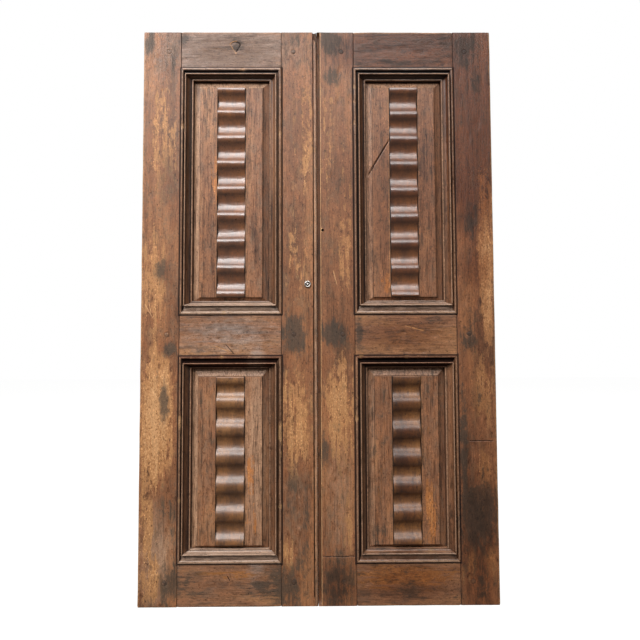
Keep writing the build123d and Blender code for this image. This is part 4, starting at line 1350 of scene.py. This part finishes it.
def lightPath(tree, place, dim, bright):
    # whether the camera sees a place, whether a mirrored ray does, and how bright the room is there:
    # white behind the part and dimmer on the camera's side
    seen, mirrored, passed = (
        addNode(tree, "LightPath", output=f"Is {ray} Ray") for ray in ("Camera", "Glossy", "Transmission")
    )
    depth = addNode(tree, "SeparateXYZ", {}, {0: place}, "Y")
    inputs = {"Value": depth, "From Min": dim, "From Max": bright, "To Min": studio["room"], "To Max": 1.0}
    room = addNode(tree, "MapRange", smooth, inputs)
    either = addNode(tree, "Math", {"operation": "MAXIMUM"}, {0: mirrored, 1: passed})
    return seen, either, room


def buildFloor():
    half = studio["floorHalf"]
    mesh = bpy.data.meshes.new("floor")
    spots = [(-half, -half, 0), (half, -half, 0), (half, half, 0), (-half, half, 0)]
    mesh.from_pydata(spots, [], [(0, 1, 2, 3)])
    floor = bpy.data.objects.new("floor", mesh)
    bpy.context.collection.objects.link(floor)
    # matt painted board: white to the camera apart from a soft shadow, too dark to light the leaves
    material, tree, shader = newMaterial("paintedFloor", studio["floorColor"])
    spot = addNode(tree, "NewGeometry", output="Position")
    seen, either, room = lightPath(tree, spot, -0.1, 0.3)
    colours = {0: seen, 6: linear(studio["floorBounce"]), 7: linear(studio["floorColor"])}
    feed(tree, shader, {
        "Base Color": addNode(tree, "Mix", rgba, colours, 2), "Roughness": 0.9, "Specular IOR Level": 0.1,
    })
    reflected = addNode(tree, "Math", {"operation": "MULTIPLY"}, {0: either, 1: room})
    shown = addNode(tree, "Math", {"operation": "MAXIMUM"}, {0: seen, 1: reflected})
    share = addNode(tree, "Math", {"operation": "MULTIPLY"}, {0: shown, 1: studio["floorWhite"]})
    glow = addNode(tree, "Emission", {}, {"Color": (1, 1, 1, 1), "Strength": studio["floorGlow"]})
    mix = addNode(tree, "MixShader", {}, {0: share, 1: shader.outputs[0], 2: glow})
    feed(tree, tree.nodes["Material Output"], {"Surface": mix})
    mesh.materials.append(material)


def buildWorld():
    world = bpy.data.worlds.new("studio")
    bpy.context.scene.world = world
    world.use_nodes = True
    tree = world.node_tree
    direction = addNode(tree, "TexCoord", output="Generated")
    seen, either, room = lightPath(tree, direction, -0.2, 0.3)
    fill = addNode(tree, "Mix", {"data_type": "FLOAT"}, {0: either, 2: studio["fill"], 3: room})
    shown = addNode(tree, "Mix", {"data_type": "FLOAT"}, {0: seen, 2: fill, 3: 1.0})
    feed(tree, tree.nodes["Background"], {"Color": (1, 1, 1, 1), "Strength": shown})


def buildLamps():
    for name, use in studio["lamps"].items():
        azimuth, elevation = math.radians(use["azimuth"]), math.radians(use["elevation"])
        flatShare = math.cos(elevation)
        away = np.array([math.sin(azimuth) * flatShare, -math.cos(azimuth) * flatShare, math.sin(elevation)])
        lamp = bpy.data.lights.new(name, "AREA")
        lamp.shape = "RECTANGLE"
        lamp.size, lamp.size_y = use["size"]
        lamp.energy = use["power"]
        holder = bpy.data.objects.new(name, lamp)
        bpy.context.collection.objects.link(holder)
        holder.location = np.array(studio["target"]) + away * use["distance"]
        holder.rotation_euler = (math.pi / 2 - elevation, 0, azimuth)


def buildCamera():
    view = studio["camera"]
    lens = bpy.data.cameras.new("camera")
    lens.sensor_width = 36
    lens.lens = view["focalPixels"] * lens.sensor_width / view["frame"]
    lens.clip_start = 0.01
    camera = bpy.data.objects.new("camera", lens)
    bpy.context.collection.objects.link(camera)
    camera.location = view["place"]
    camera.rotation_euler = [math.radians(angle) for angle in view["turn"]]
    bpy.context.scene.camera = camera


buildFloor()
buildWorld()
buildLamps()
buildCamera()
bpy.context.scene.view_settings.view_transform = "Standard"
print("studio set")
